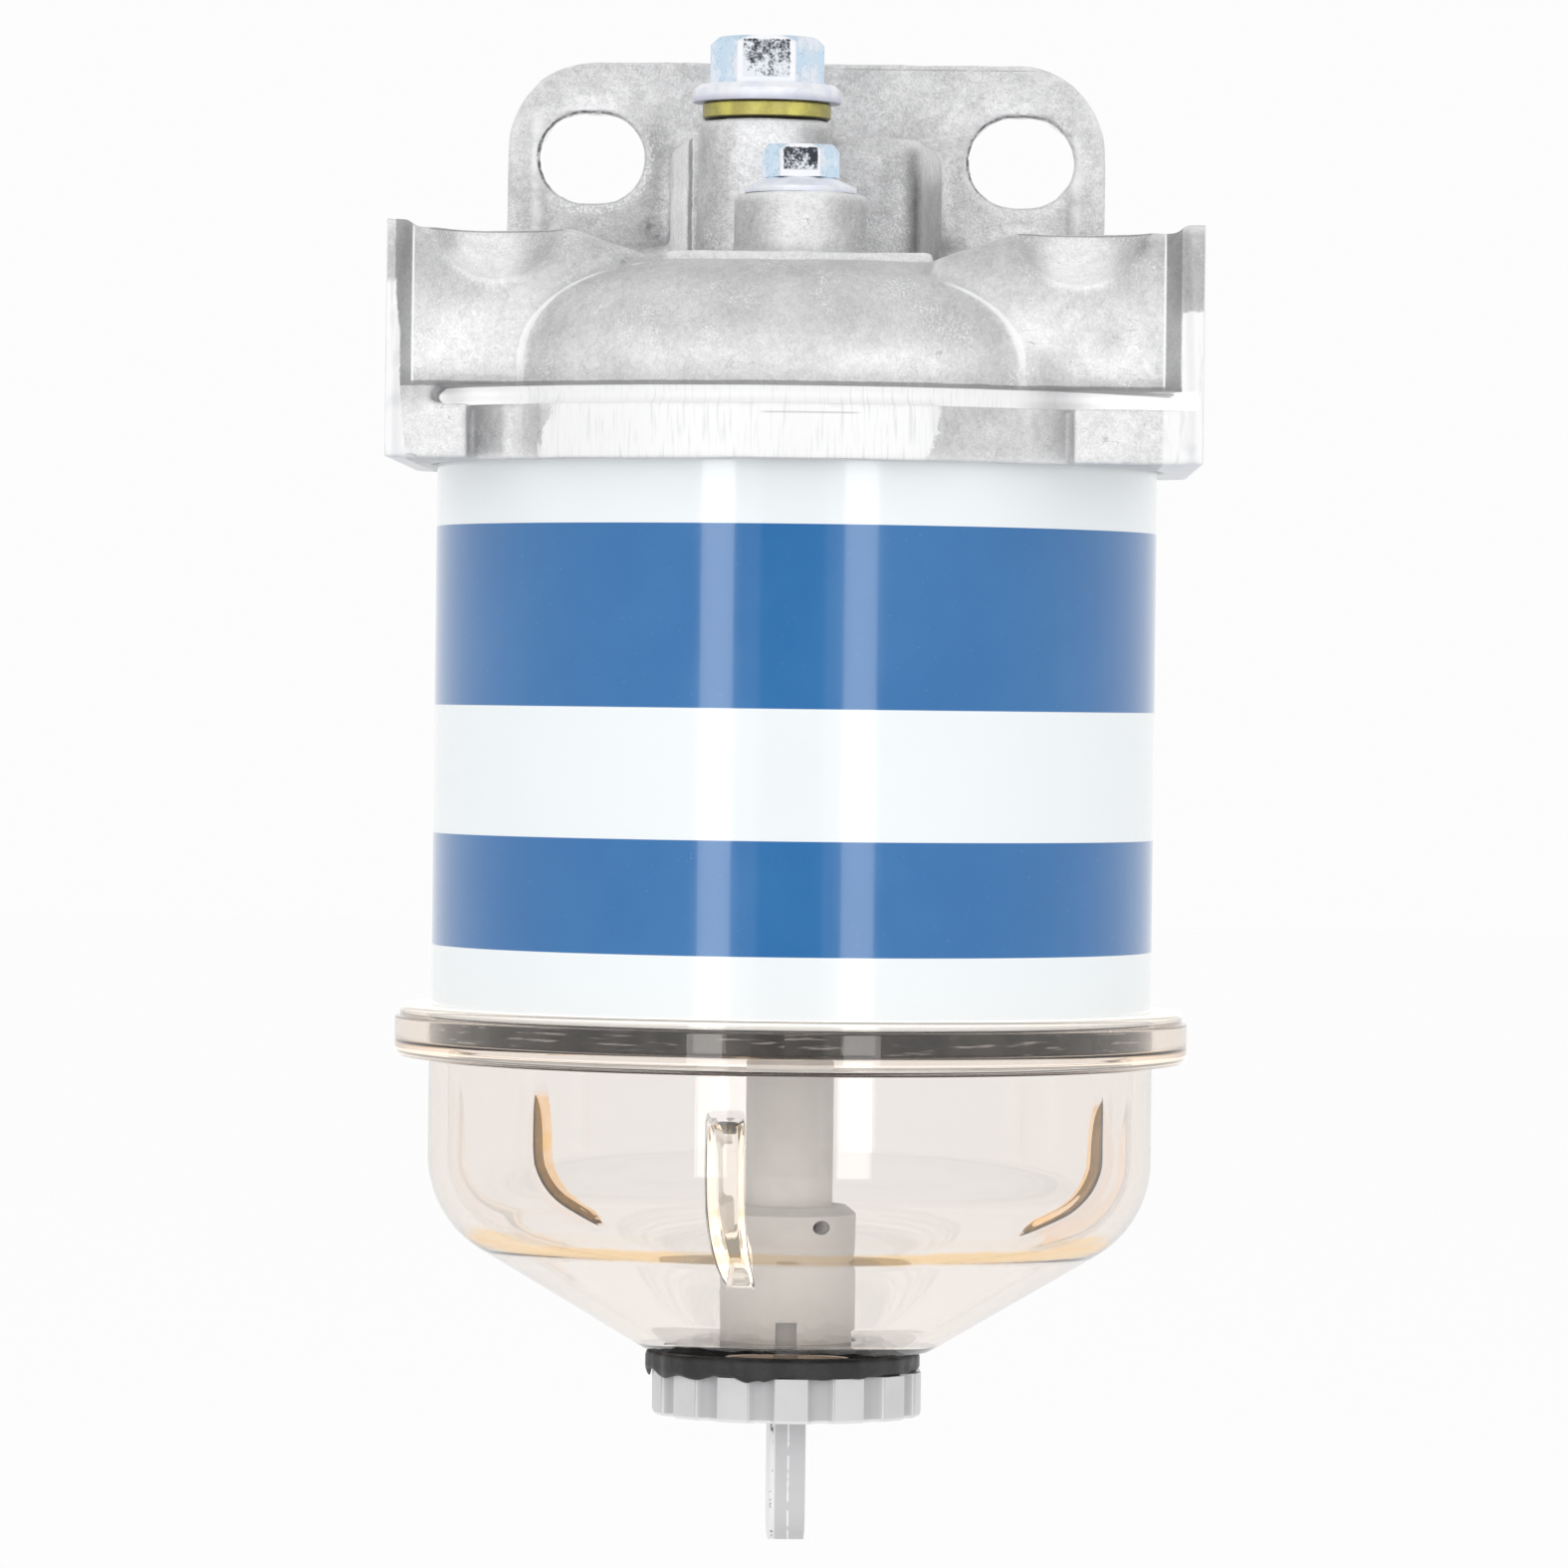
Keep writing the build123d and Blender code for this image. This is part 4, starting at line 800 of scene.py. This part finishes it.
def zinc_finish(name, middle_x, flat_y, flat_middle, flat_half_width, flat_half_height, flange_top, shank_top,
                darkness):
    """Bright zinc plate: pale blue with lighter clouds on the hexagon, near white and matt on the flange,
    with painted shade towards the flange's lower edge. The flat that faces the front is drawn dark in coarse
    crystals as a painted reflection of a dark room, darker towards its top, inside a pale matt border that is
    a painted highlight."""
    finish = Finish(name, zinc_blue, 0.16, 0.85)
    place, x, y, z = coordinates(finish.tree)
    colour = mix(ramp(noise(place, 260.0, 4.0, 0.6), 0.44, 0.66), zinc_blue, zinc_pale)
    vein = line_at(noise(place, 520.0, 3.0, 0.6), 0.5, 0.002, 0.012)
    colour = mix(vein * 0.35, colour, (0.22, 0.25, 0.30, 1))
    on_flange = fall(z, flange_top - 0.15 * mm, flange_top + 0.05 * mm)
    flange_cloud = ramp(noise(place, 420.0, 4.0, 0.6), 0.40, 0.60)
    colour = mix(on_flange, colour, mix(flange_cloud, zinc_lilac, zinc_bright))
    facing = fall(y, flat_y + 0.15 * mm, flat_y + 0.35 * mm)
    # The front face outside the flat is painted pale and matt as a highlight.
    border = facing * (1.0 - on_flange)
    colour = mix(border, colour, zinc_bright)
    matt = either(on_flange, border)
    wander = wandering(place, 1500.0, 0.7 * mm)
    front_flat = line_at(x + wander, middle_x, flat_half_width, 0.15 * mm)
    front_flat = front_flat * line_at(z + wander, flat_middle, flat_half_height, 0.15 * mm) * facing
    # Painted shade towards the flange's lower edge.
    painted_lower_shade = on_flange * ramp(z, flange_top - 2.25 * mm, flange_top - 1.2 * mm, 0.70, 0.0)
    colour = mix(painted_lower_shade, colour, (0.42, 0.44, 0.56, 1))
    # The crystals are a painted reflection, with painted shade towards the flat's top.
    darker_above = ramp(z, flat_middle - flat_half_height, flat_middle + flat_half_height, 0.04, -0.04)
    crystal = noise(place, 1500.0, 5.0, 0.8) + darker_above
    mirrored = mix(ramp(crystal, darkness, darkness + 0.16), (0.03, 0.035, 0.05, 1), (0.80, 0.83, 0.88, 1))
    turn = (y - (flat_y + 6.0 * mm)).step("ARCTAN2", x - middle_x)
    thread = (turn + z * (2 * math.pi / thread_pitch)).step("SINE")
    height = thread * ramp(z, shank_top - 0.2 * mm, shank_top, 0.5, 0.0)
    height = height + noise(place, 2300.0, 4.0, 0.65) * 0.10
    finish.feed(
        base_color=mix(front_flat, colour, mirrored),
        roughness=ramp(matt, 0.0, 1.0, 0.18, 0.45),
        metallic=ramp(matt, 0.0, 1.0, 0.85, 0.40),
        normal=bump(height, 0.30 * mm, 0.8),
    )
    return finish


def washer_finish():
    """Olive-gold passivation with painted light brightest in the middle of its front and painted shade
    towards its sides, clouds, flecks, and painted shadow lines along its top and bottom edges.
    """
    finish = Finish("yellow_passivate", (0.68, 0.62, 0.20, 1), 0.38, 0.6)
    place, x, y, z = coordinates(finish.tree)
    skin = grain(finish.tree, 3000.0, 260.0)
    colour = mix(skin["Stain"], (0.47, 0.42, 0.12, 1), (0.74, 0.68, 0.17, 1))
    colour = mix(skin["Fleck"] * 0.5, colour, (0.95, 0.93, 0.60, 1))
    # Painted shade towards the sides.
    painted_side_shade = ramp(abs(x - plug_middle_x), 3.5 * mm, 9.0 * mm, 0.0, 0.75)
    colour = mix(painted_side_shade, colour, (0.20, 0.18, 0.05, 1))
    # Painted shadow lines where the washer meets the boss and the plug's flange.
    rims = either(line_at(z, washer_base, 0.16 * mm, 0.12 * mm), line_at(z, washer_top, 0.08 * mm, 0.12 * mm))
    colour = mix(rims * 0.95, colour, (0.02, 0.018, 0.01, 1))
    finish.feed(base_color=colour, normal=bump(skin["Height"], 0.05 * mm, 0.6))
    return finish


dress(zinc_finish("plug_zinc", **plug_shape), nodes["vent_plug"])
dress(zinc_finish("bolt_zinc", **bolt_shape), nodes["centre_bolt"])
dress(washer_finish(), nodes["vent_plug_washer"])

# Filter can: drawn steel shell, stoved gloss white with two blue bands and rolled seams. It is clamped
# between the head and the bowl on rubber rings. Inside are tinned end plates, a tube and a coil of folded
# paper.
band_levels = ((-68.3 * mm, -47.05 * mm), (-96.8 * mm, -83.5 * mm))
paint_white = (0.880, 0.925, 0.948, 1)
band_blue = (0.009, 0.144, 0.402, 1)


def can_finish():
    """Gloss paint with bands of blue by height, a slight orange peel and faint dust."""
    finish = Finish("banded_paint", paint_white, 0.10, coat_weight=0.45, coat_roughness=0.04)
    place, x, y, z = coordinates(finish.tree)
    lower, upper = (
        ramp(z, low - 0.04 * mm, low + 0.04 * mm) * fall(z, high - 0.04 * mm, high + 0.04 * mm)
        for low, high in band_levels
    )
    cloud = noise(place, 55.0, 3.0, 0.6)
    cloudy = ramp(cloud, 0.35, 0.70)
    colour = mix(lower + upper, mix(cloudy, paint_white, (0.888, 0.932, 0.952, 1)),
                 mix(cloudy, band_blue, (0.016, 0.160, 0.420, 1)))
    dust = ramp(noise(place, 2600.0), 0.70, 0.78, 0.0, 0.10)
    finish.feed(
        base_color=mix(dust, colour, (0.75, 0.78, 0.82, 1)),
        normal=bump(noise(place, 260.0), 0.02 * mm, 0.25),
        roughness=ramp(cloud, 0.3, 0.7, 0.09, 0.14),
    )
    return finish


def clouded_finish(name, base, dark, light, roughness, metallic, grain_scale, stain_scale, depth, strength):
    """A plain finish clouded between two colours, with the shared grain as its bump."""
    finish = Finish(name, base, roughness, metallic)
    skin = grain(finish.tree, grain_scale, stain_scale)
    finish.feed(base_color=mix(skin["Stain"], dark, light), normal=bump(skin["Height"], depth, strength))
    return finish


dress(can_finish(), nodes["can_shell"])
tin = clouded_finish("tinned_steel", (0.62, 0.63, 0.65, 1), (0.56, 0.57, 0.59, 1), (0.72, 0.73, 0.74, 1),
                     0.30, 0.9, 1200.0, 240.0, 0.02 * mm, 0.4)
dress(tin, nodes["can_top_plate"], nodes["can_bottom_plate"], nodes["can_centre_tube"])
paper = clouded_finish("filter_paper", (0.66, 0.54, 0.30, 1), (0.60, 0.48, 0.26, 1), (0.74, 0.63, 0.38, 1),
                       0.85, 0.0, 2600.0, 700.0, 0.06 * mm, 0.6)
dress(paper, nodes["paper_element"])

# Rubber seals: black nitrile mouldings, one above and one below the can, one round the can's tube, a ring on
# the centre bolt, a flat one at the column's foot and a ring in the drain stem's groove.
bowl_rim_radius = 47.3 * mm


def rubber_finish(name, wet, dry, painted_sheen, gloss):
    """Black rubber with a grey bloom, as smooth as wet where it is clean and as dry where it has bloomed. A
    painted sheen runs round the axis in thin pale streaks, as pale as painted_sheen."""
    finish = Finish(name, (0.022, 0.022, 0.024, 1), dry, specular_ior_level=gloss)
    place, x, y, z = coordinates(finish.tree)
    angle = axis_angle(x, y)
    skin = grain(finish.tree, 1600.0, 330.0)
    along = output(finish.tree, "CombineXYZ", [angle * (bowl_rim_radius * 0.07), z, 0.0])
    # Painted sheen: pale streaks round the axis.
    streak = ramp(noise(along, 1500.0, 3.0, 0.65), 0.56, 0.66, 0.0, painted_sheen)
    colour = mix(skin["Stain"], (0.010, 0.010, 0.011, 1), (0.035, 0.034, 0.036, 1))
    finish.feed(
        base_color=mix(streak, colour, (0.80, 0.78, 0.78, 1)),
        roughness=ramp(skin["Stain"], 0.0, 1.0, wet, dry),
        normal=bump(skin["Height"], 0.10 * mm, 0.5),
    )
    return finish


rubber = rubber_finish("black_nitrile", 0.42, 0.62, 0.0, 0.5)
dress(rubber, nodes["head_can_seal"], nodes["head_centre_seal"], nodes["centre_bolt_seal"],
      nodes["column_foot_seal"], nodes["drain_stem_seal"])
dress(rubber_finish("oiled_nitrile", 0.10, 0.20, 0.36, 0.24), nodes["can_bowl_seal"])

# Water bowl: one injection moulding in clear plastic with an amber cast. Its socket takes the can's lower
# seal, three narrow ribs stand on the inside of its wall, and the column clamps it through the hole in its
# floor.
bowl_wall = 2.3 * mm
bowl_floor = -144.8 * mm
socket_radius = 43.5 * mm
bowl_outer_radius = 43.2 * mm
bowl_inner_radius = bowl_outer_radius - bowl_wall
bowl_shelf = -108.3 * mm
bowl_rim_top = -104.0 * mm
bowl_rim_base = -110.1 * mm
floor_radius = 17.2 * mm
bowl_hole_radius = 8.25 * mm
cone_angle = math.radians(30.7)
bend_radius = 13.0 * mm
ribs = ((-99.3, 2.1 * mm, 3.4 * mm), (20.7, 1.3 * mm, 1.5 * mm), (140.7, 1.3 * mm, 1.5 * mm))
rib_top = bowl_rim_base - 5.7 * mm
rib_foot = -134.2 * mm
amber_line = -131.8 * mm


def rounded_path(corners, steps=6):
    """A path of (radius, height) points through these corners, each given as (radius, height, rounding). The
    rounding is an arc that touches both runs, and each arc has a point a little outside its two ends."""
    path = []
    count = len(corners)
    for index, (radius, height, rounding) in enumerate(corners):
        here = np.array((radius, height))
        before = np.array(corners[index - 1][:2]) - here
        after = np.array(corners[(index + 1) % count][:2]) - here
        before_length, after_length = np.linalg.norm(before), np.linalg.norm(after)
        before /= before_length
        after /= after_length
        half_angle = math.acos(np.clip(before @ after, -1, 1)) / 2
        cut = min(rounding / math.tan(half_angle), 0.45 * before_length, 0.45 * after_length)
        arc_radius = cut * math.tan(half_angle)
        middle = here + (before + after) / np.linalg.norm(before + after) * arc_radius / math.sin(half_angle)
        start = here + before * cut - middle
        end = here + after * cut - middle
        turn = math.atan2(start[0] * end[1] - start[1] * end[0], start @ end)
        guard = min(0.25 * mm, 0.1 * before_length, 0.1 * after_length)
        path.append(middle + start + before * guard)
        arc_steps = max(steps, int(abs(turn) * arc_radius / (0.6 * mm)))
        for angle in np.linspace(0, turn, arc_steps + 1):
            c, s = math.cos(angle), math.sin(angle)
            path.append(middle + np.array((c * start[0] - s * start[1], s * start[0] + c * start[1])))
        path.append(middle + end + after * guard)
    return np.array(path)


def carried_round(name, radius, height, angles, **masks):
    """A mesh over a grid of radii and heights (rows along a closed section, columns round the filter's axis
    at these angles). Rows and columns both wrap round. It keeps each mask, a grid of values, under its
    name."""
    points = np.stack([radius * np.cos(angles), axis_y + radius * np.sin(angles), height], axis=-1)
    rows, columns = points.shape[:2]
    row, column = np.meshgrid(np.arange(rows), np.arange(columns), indexing="ij")
    next_row, next_column = (row + 1) % rows, (column + 1) % columns
    corners = ((row, column), (row, next_column), (next_row, next_column), (next_row, column))
    faces = np.stack([r * columns + c for r, c in corners], axis=-1).reshape(-1, 4)
    mesh = bpy.data.meshes.new(name)
    mesh.from_pydata(points.reshape(-1, 3), [], faces.tolist())
    for key, values in masks.items():
        store_mask(mesh, key, values.ravel())
    shaped = bmesh.new()
    shaped.from_mesh(mesh)
    bmesh.ops.remove_doubles(shaped, verts=shaped.verts, dist=0.001 * mm)
    bmesh.ops.recalc_face_normals(shaped, faces=shaped.faces)
    shaped.to_mesh(mesh)
    shaped.free()
    mesh.shade_smooth()
    return add_object(name, mesh)


def bowl_section():
    """The bowl's closed section: floor, cone, bend, wall and rim on the outside, then the socket and the
    inside back down to the hole."""
    outer_corner = bowl_floor + (bowl_outer_radius - floor_radius) * math.tan(cone_angle)
    inner_floor = bowl_floor + bowl_wall
    inner_floor_radius = floor_radius - bowl_wall * math.tan(cone_angle / 2)
    inner_corner = inner_floor + (bowl_inner_radius - inner_floor_radius) * math.tan(cone_angle)
    return rounded_path([
        (bowl_hole_radius, inner_floor, 0.3 * mm),
        (bowl_hole_radius, bowl_floor, 0.3 * mm),
        (floor_radius, bowl_floor, 0.6 * mm),
        (bowl_outer_radius, outer_corner, bend_radius),
        (bowl_outer_radius, bowl_rim_base, 0.4 * mm),
        (bowl_rim_radius, bowl_rim_base, 0.9 * mm),
        (bowl_rim_radius, bowl_rim_top - 1.3 * mm, 0.35 * mm),
        (bowl_rim_radius - 0.6 * mm, bowl_rim_top - 1.3 * mm, 0.2 * mm),
        (bowl_rim_radius - 0.6 * mm, bowl_rim_top, 0.5 * mm),
        (socket_radius, bowl_rim_top, 0.3 * mm),
        (socket_radius, bowl_shelf, 0.3 * mm),
        (bowl_inner_radius, bowl_shelf, 0.4 * mm),
        (bowl_inner_radius, inner_corner, bend_radius - bowl_wall),
        (inner_floor_radius, inner_floor, mm),
    ])


def clear_bowl():
    """The bowl's section carried round the filter's axis. On each rib, given as its azimuth, half width and
    reach, the inside is moved into the bowl, square to the section, by the reach times a rounded nose across
    the rib, a dome at its top and a blunt end at its foot."""
    section = bowl_section()
    lengths = np.linalg.norm(np.diff(section, axis=0, append=section[:1]), axis=1)
    pieces = np.maximum(1, np.ceil(lengths / (1.1 * mm))).astype(int)
    start = np.repeat(np.arange(len(section)), pieces)
    share = np.concatenate([np.arange(n) / n for n in pieces])
    path = section[start] + (np.roll(section, -1, axis=0)[start] - section[start]) * share[:, None]
    inner = start >= np.flatnonzero(np.isclose(section[:, 1], bowl_shelf, atol=0.001 * mm))[0]
    along = np.roll(path, -1, axis=0) - np.roll(path, 1, axis=0)
    along /= np.linalg.norm(along, axis=1, keepdims=True)
    inward = np.stack([along[:, 1], -along[:, 0]], axis=1)
    down = np.clip((rib_top - path[:, 1]) / (7.0 * mm), 0, 1)
    taper = np.sqrt(np.clip(1 - (1 - down) ** 2, 0, 1))
    taper *= smooth_ramp(path[:, 1], rib_foot, rib_foot + 1.2 * mm)
    taper = np.where(inner & (path[:, 1] < rib_top), taper, 0)
    angles = [np.linspace(-math.pi, math.pi, 300, endpoint=False)]
    for azimuth, half_width, reach in ribs:
        angles.append(math.radians(azimuth) + np.linspace(-1.25, 1.25, 27) * half_width / bowl_inner_radius)
    angles = np.unique(np.round((np.concatenate(angles) + math.pi) % (2 * math.pi), 5))
    nose = np.zeros(len(angles))
    for azimuth, half_width, reach in ribs:
        offset = (angles - math.pi - math.radians(azimuth) + math.pi) % (2 * math.pi) - math.pi
        across = np.clip(np.abs(offset) * bowl_inner_radius / half_width, 0, 1)
        nose = np.maximum(nose, reach * np.clip(1 - across**4, 0, 1) ** 0.5)
    proud = taper[:, None] * nose[None, :]
    radius = path[:, :1] + inward[:, :1] * proud
    height = path[:, 1:] + inward[:, 1:] * proud
    rib = smooth_ramp(proud, 0.02 * mm, 0.15 * mm)
    return carried_round("clear_bowl", radius, height, (angles - math.pi)[None, :], rib=rib)


def bowl_finish():
    """Clear plastic that takes out blue and green over its depth, with a slight moulding ripple. A line round
    the front of the bend and the rear ribs are painted amber with a painted glow, standing in for light that
    runs round inside; the front rib and the rim's two edges get a pale painted glow, and the crease under the
    rim, the shelf and the rim's lower corner are painted dark as shade. Rays from lamps pass straight
    through, so that what is inside is lit."""
    clear_base = (0.95, 0.95, 0.96, 1)
    finish = Finish("amber_clear_plastic", clear_base, 0.015, transmission_weight=1.0, ior=1.49,
                    emission_strength=1.0)
    tree = finish.tree
    place, x, y, z = coordinates(tree)
    radius = axis_radius(x, y)

    # Painted amber light in a line round the bend and in the rear ribs, and painted shade in the creases at
    # the rim
    ring = line_at(z + wandering(place, 60.0, 1.6 * mm), amber_line, 0.40 * mm, 0.60 * mm)
    ring = ring * fall(y, axis_y - 14 * mm, axis_y - 2 * mm) * ramp(radius, 36.8 * mm, 37.4 * mm)
    amber = mix(line_at(x, -mm, 8.0 * mm, 5.0 * mm), (0.84, 0.58, 0.28, 1), (0.66, 0.58, 0.46, 1))
    crease = line_at(z, bowl_rim_base - 0.05 * mm, 0.16 * mm, 0.12 * mm)
    crease = crease * fall(radius, bowl_outer_radius + 0.5 * mm, bowl_outer_radius + mm)
    on_shelf = line_at(z, bowl_shelf, 0.04 * mm, 0.06 * mm)
    on_shelf = on_shelf * fall(radius, socket_radius - 0.1 * mm, socket_radius + 0.2 * mm)
    low_corner = line_at(z, bowl_rim_base + 0.06 * mm, 0.06 * mm, 0.06 * mm)
    low_corner = low_corner * ramp(radius, bowl_rim_radius - 1.4 * mm, bowl_rim_radius - 1.1 * mm)
    rib = attribute(tree, "rib")
    # The rear ribs are painted amber as light held inside them.
    rear_rib = rib * ramp(y, axis_y - mm, axis_y + mm)
    rear_rib = rear_rib * ramp(noise(place, 260.0, 3.0, 0.6), 0.35, 0.65, 0.7, 1.0)
    colour = mix(fall(z, -128 * mm, -133 * mm), (0.985, 0.985, 0.995, 1), clear_base)
    colour = mix(ring, colour, amber)
    colour = mix(either(crease, on_shelf, low_corner), colour, (0.05, 0.03, 0.02, 1))
    colour = mix(rear_rib, colour, (0.52, 0.28, 0.08, 1))

    # Painted glow in the ribs, the line and the rim's two edges
    rib_light = either(line_at(z, rib_foot + 3.4 * mm, 2.6 * mm, 1.6 * mm), 0.35)
    front_light = rib * fall(y, axis_y - mm, axis_y + mm) * rib_light
    top_edge = ramp(z, bowl_rim_top - 0.7 * mm, bowl_rim_top - 0.3 * mm)
    lip = band(z, bowl_rim_base + 0.35 * mm, bowl_rim_base + 1.1 * mm, 0.1 * mm)
    lip = lip * ramp(radius, bowl_rim_radius - 0.9 * mm, bowl_rim_radius - 0.5 * mm) * 0.6
    painted_glow = mix(rear_rib, black, (0.30, 0.165, 0.05, 1))
    painted_glow = mix(front_light, painted_glow, (0.40, 0.38, 0.33, 1))
    painted_glow = mix(ring, painted_glow, (0.10, 0.05, 0.0, 1))
    painted_glow = mix(either(top_edge, lip), painted_glow, (0.42, 0.40, 0.37, 1))
    finish.feed(base_color=colour, emission_color=painted_glow, normal=bump(noise(place, 60.0), 0.06 * mm, 0.2))
    finish.mix_surface(rays(tree, "Shadow"), output(tree, "BsdfTransparent", [(0.93, 0.92, 0.90, 1)]))
    cast = output(tree, "VolumeAbsorption", {"Color": (0.76, 0.40, 0.0, 1), "Density": 33.5})
    tree.links.new(cast.socket, tree.nodes["Material Output"].inputs["Volume"])
    return finish


bowl_piece = clear_bowl()
dress(bowl_finish(), bowl_piece)
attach(bowl_piece, "head")
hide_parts("bowl")

# Drain seal: a soft black ring that the wheel squeezes against the bowl's floor. It is swollen and chewed by
# the fuel, and its lower lip hangs over the wheel's rim in uneven lobes, most on the left.
seal_inner = 12.3 * mm
seal_outer = 16.45 * mm
seal_top = bowl_floor - 0.02 * mm
seal_base = -147.15 * mm
lip_drop = mm
wheel_clearance = 16.2 * mm


def drain_ring():
    """A rounded box section carried round the axis. Its outside swells by slow and quick waves of the angle
    and draws in on the right. The lower outer corner, outside the wheel's radius, hangs down by waves that
    are strongest on the left."""
    section = rounded_path([
        (seal_inner, seal_base, 0.3 * mm), (seal_outer, seal_base, 0.5 * mm),
        (seal_outer, seal_top, 0.8 * mm), (seal_inner, seal_top, 0.3 * mm),
    ], steps=7)
    fine = np.repeat(section, 3, axis=0)
    share = np.tile(np.arange(3) / 3, len(section))[:, None]
    fine = fine + (np.repeat(np.roll(section, -1, axis=0), 3, axis=0) - fine) * share
    angles = np.linspace(0, 2 * math.pi, 420, endpoint=False)[None, :]
    outward = smooth_ramp(fine[:, :1], seal_outer - 1.2 * mm, seal_outer)
    swell = 0.16 * np.sin(5 * angles + 0.7) + 0.13 * np.sin(13 * angles + 2.1) + 0.08 * np.sin(29 * angles)
    left = 0.5 - 0.5 * np.cos(angles)
    swell = swell * (0.4 + 0.6 * left) + 0.20 + 0.38 * left**4 - 0.85 * (1 - left) ** 4
    radius = fine[:, :1] + outward * swell * mm
    low = smooth_ramp(-fine[:, 1:], -(seal_base + 0.9 * mm), -seal_base)
    over_rim = smooth_ramp(radius, wheel_clearance, wheel_clearance + 0.15 * mm)
    lobes = np.clip(0.42 + 0.45 * np.sin(14 * angles + 1.39) + 0.35 * np.sin(9 * angles - 1.26), 0, 1)
    height = fine[:, 1:] - lip_drop * low * over_rim * lobes * (0.35 + 0.65 * left)
    return carried_round("drain_ring_rubber", radius, height, angles)


drain_ring_piece = drain_ring()
dress(rubber, drain_ring_piece)
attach(drain_ring_piece, "drain_ring")
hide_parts("drain_seal")

# Column, insert and drain wheel: grey glass-filled plastic mouldings. The centre bolt screws into the
# column's brass insert, and the wheel's stem screws up into the column's foot to open and close the drain.
column_grey = (0.85, 0.85, 0.845, 1)
air_hole = (4.05 * mm, -58.0 * mm, -131.2 * mm)
wheel_radius = 16.1 * mm
wheel_base = -152.6 * mm


def column_finish():
    """Satin grey plastic with faint flow marks and a fine grain, painted black as shade inside the small air
    hole.
    """
    finish = Finish("column_grey", column_grey, 0.42)
    place = output(finish.tree, "TexCoord", pick="Object")
    skin = grain(finish.tree, 1700.0, 180.0)
    colour = mix(skin["Stain"] * 0.7, column_grey, (0.77, 0.77, 0.765, 1))
    # Painted shade: black inside the small air hole.
    to_hole = output(finish.tree, "VectorMath", [place, air_hole], "Value", operation="DISTANCE")
    colour = mix(ramp(to_hole, mm, 1.25 * mm, 0.95, 0.0), colour, (0.02, 0.02, 0.02, 1))
    finish.feed(base_color=colour, normal=bump(skin["Height"], 0.03 * mm, 0.4))
    return finish


def wheel_finish():
    """The same plastic, with a painted highlight on the lobes' corners and along the rim's lower edge, and
    painted shade in the flutes. The tab is drawn darker and has a mould line down its middle, painted light
    on its left corner and small dark marks."""
    finish = Finish("wheel_grey", (0.72, 0.72, 0.73, 1), 0.38)
    place, x, y, z = coordinates(finish.tree)
    radius = axis_radius(x, y)
    skin = grain(finish.tree, 1700.0, 180.0)
    above_base = ramp(z, wheel_base + 0.1 * mm, wheel_base + 0.4 * mm)
    # Painted shade in the flutes.
    flute = ramp(radius, wheel_radius - 0.9 * mm, wheel_radius - 0.15 * mm, 0.75, 0.0)
    flute = flute * above_base * ramp(radius, 13.5 * mm, 14.0 * mm)
    # Painted highlights on the lobes' corners and along the rim's lower edge.
    corner = line_at(radius, wheel_radius - 0.28 * mm, 0.06 * mm, 0.10 * mm) * above_base
    rim_line = line_at(z, wheel_base + 0.15 * mm, 0.12 * mm, 0.15 * mm) * ramp(radius, 14.0 * mm, 15.0 * mm)
    tab = fall(z, wheel_base - 0.3 * mm, wheel_base)
    mould_line = line_at(x, 0.42 * mm, 0.07 * mm, 0.08 * mm) * tab
    mould_line = mould_line * ramp(noise(place, 900.0, 3.0, 0.6), 0.40, 0.5)
    # Painted light on the tab's left corner.
    painted_left_light = fall(x, -1.25 * mm, -1.05 * mm) * tab * 0.8
    nick = line_at(x, -1.55 * mm, 0.10 * mm, 0.15 * mm) * tab
    nick = nick * ramp(noise(place, 420.0, 3.0, 0.7), 0.54, 0.58)
    colour = mix(skin["Stain"] * 0.5, (0.71, 0.71, 0.72, 1), (0.64, 0.64, 0.65, 1))
    colour = mix(flute, colour, (0.50, 0.50, 0.51, 1))
    colour = mix(tab * 0.6, colour, (0.56, 0.56, 0.57, 1))
    colour = mix(either(either(corner, rim_line) * 0.7, mould_line, painted_left_light), colour, (0.95, 0.95, 0.95, 1))
    colour = mix(nick, colour, (0.20, 0.20, 0.20, 1))
    finish.feed(base_color=colour, normal=bump(skin["Height"] + mould_line * 2.0, 0.04 * mm, 0.5))
    return finish


dress(column_finish(), nodes["bowl_column"])
dress(wheel_finish(), nodes["drain_wheel"])
brass = clouded_finish("turned_brass", (0.62, 0.45, 0.18, 1), (0.55, 0.39, 0.14, 1), (0.70, 0.53, 0.24, 1),
                       0.28, 1.0, 2400.0, 300.0, 0.02 * mm, 0.5)
dress(brass, nodes["column_insert"])
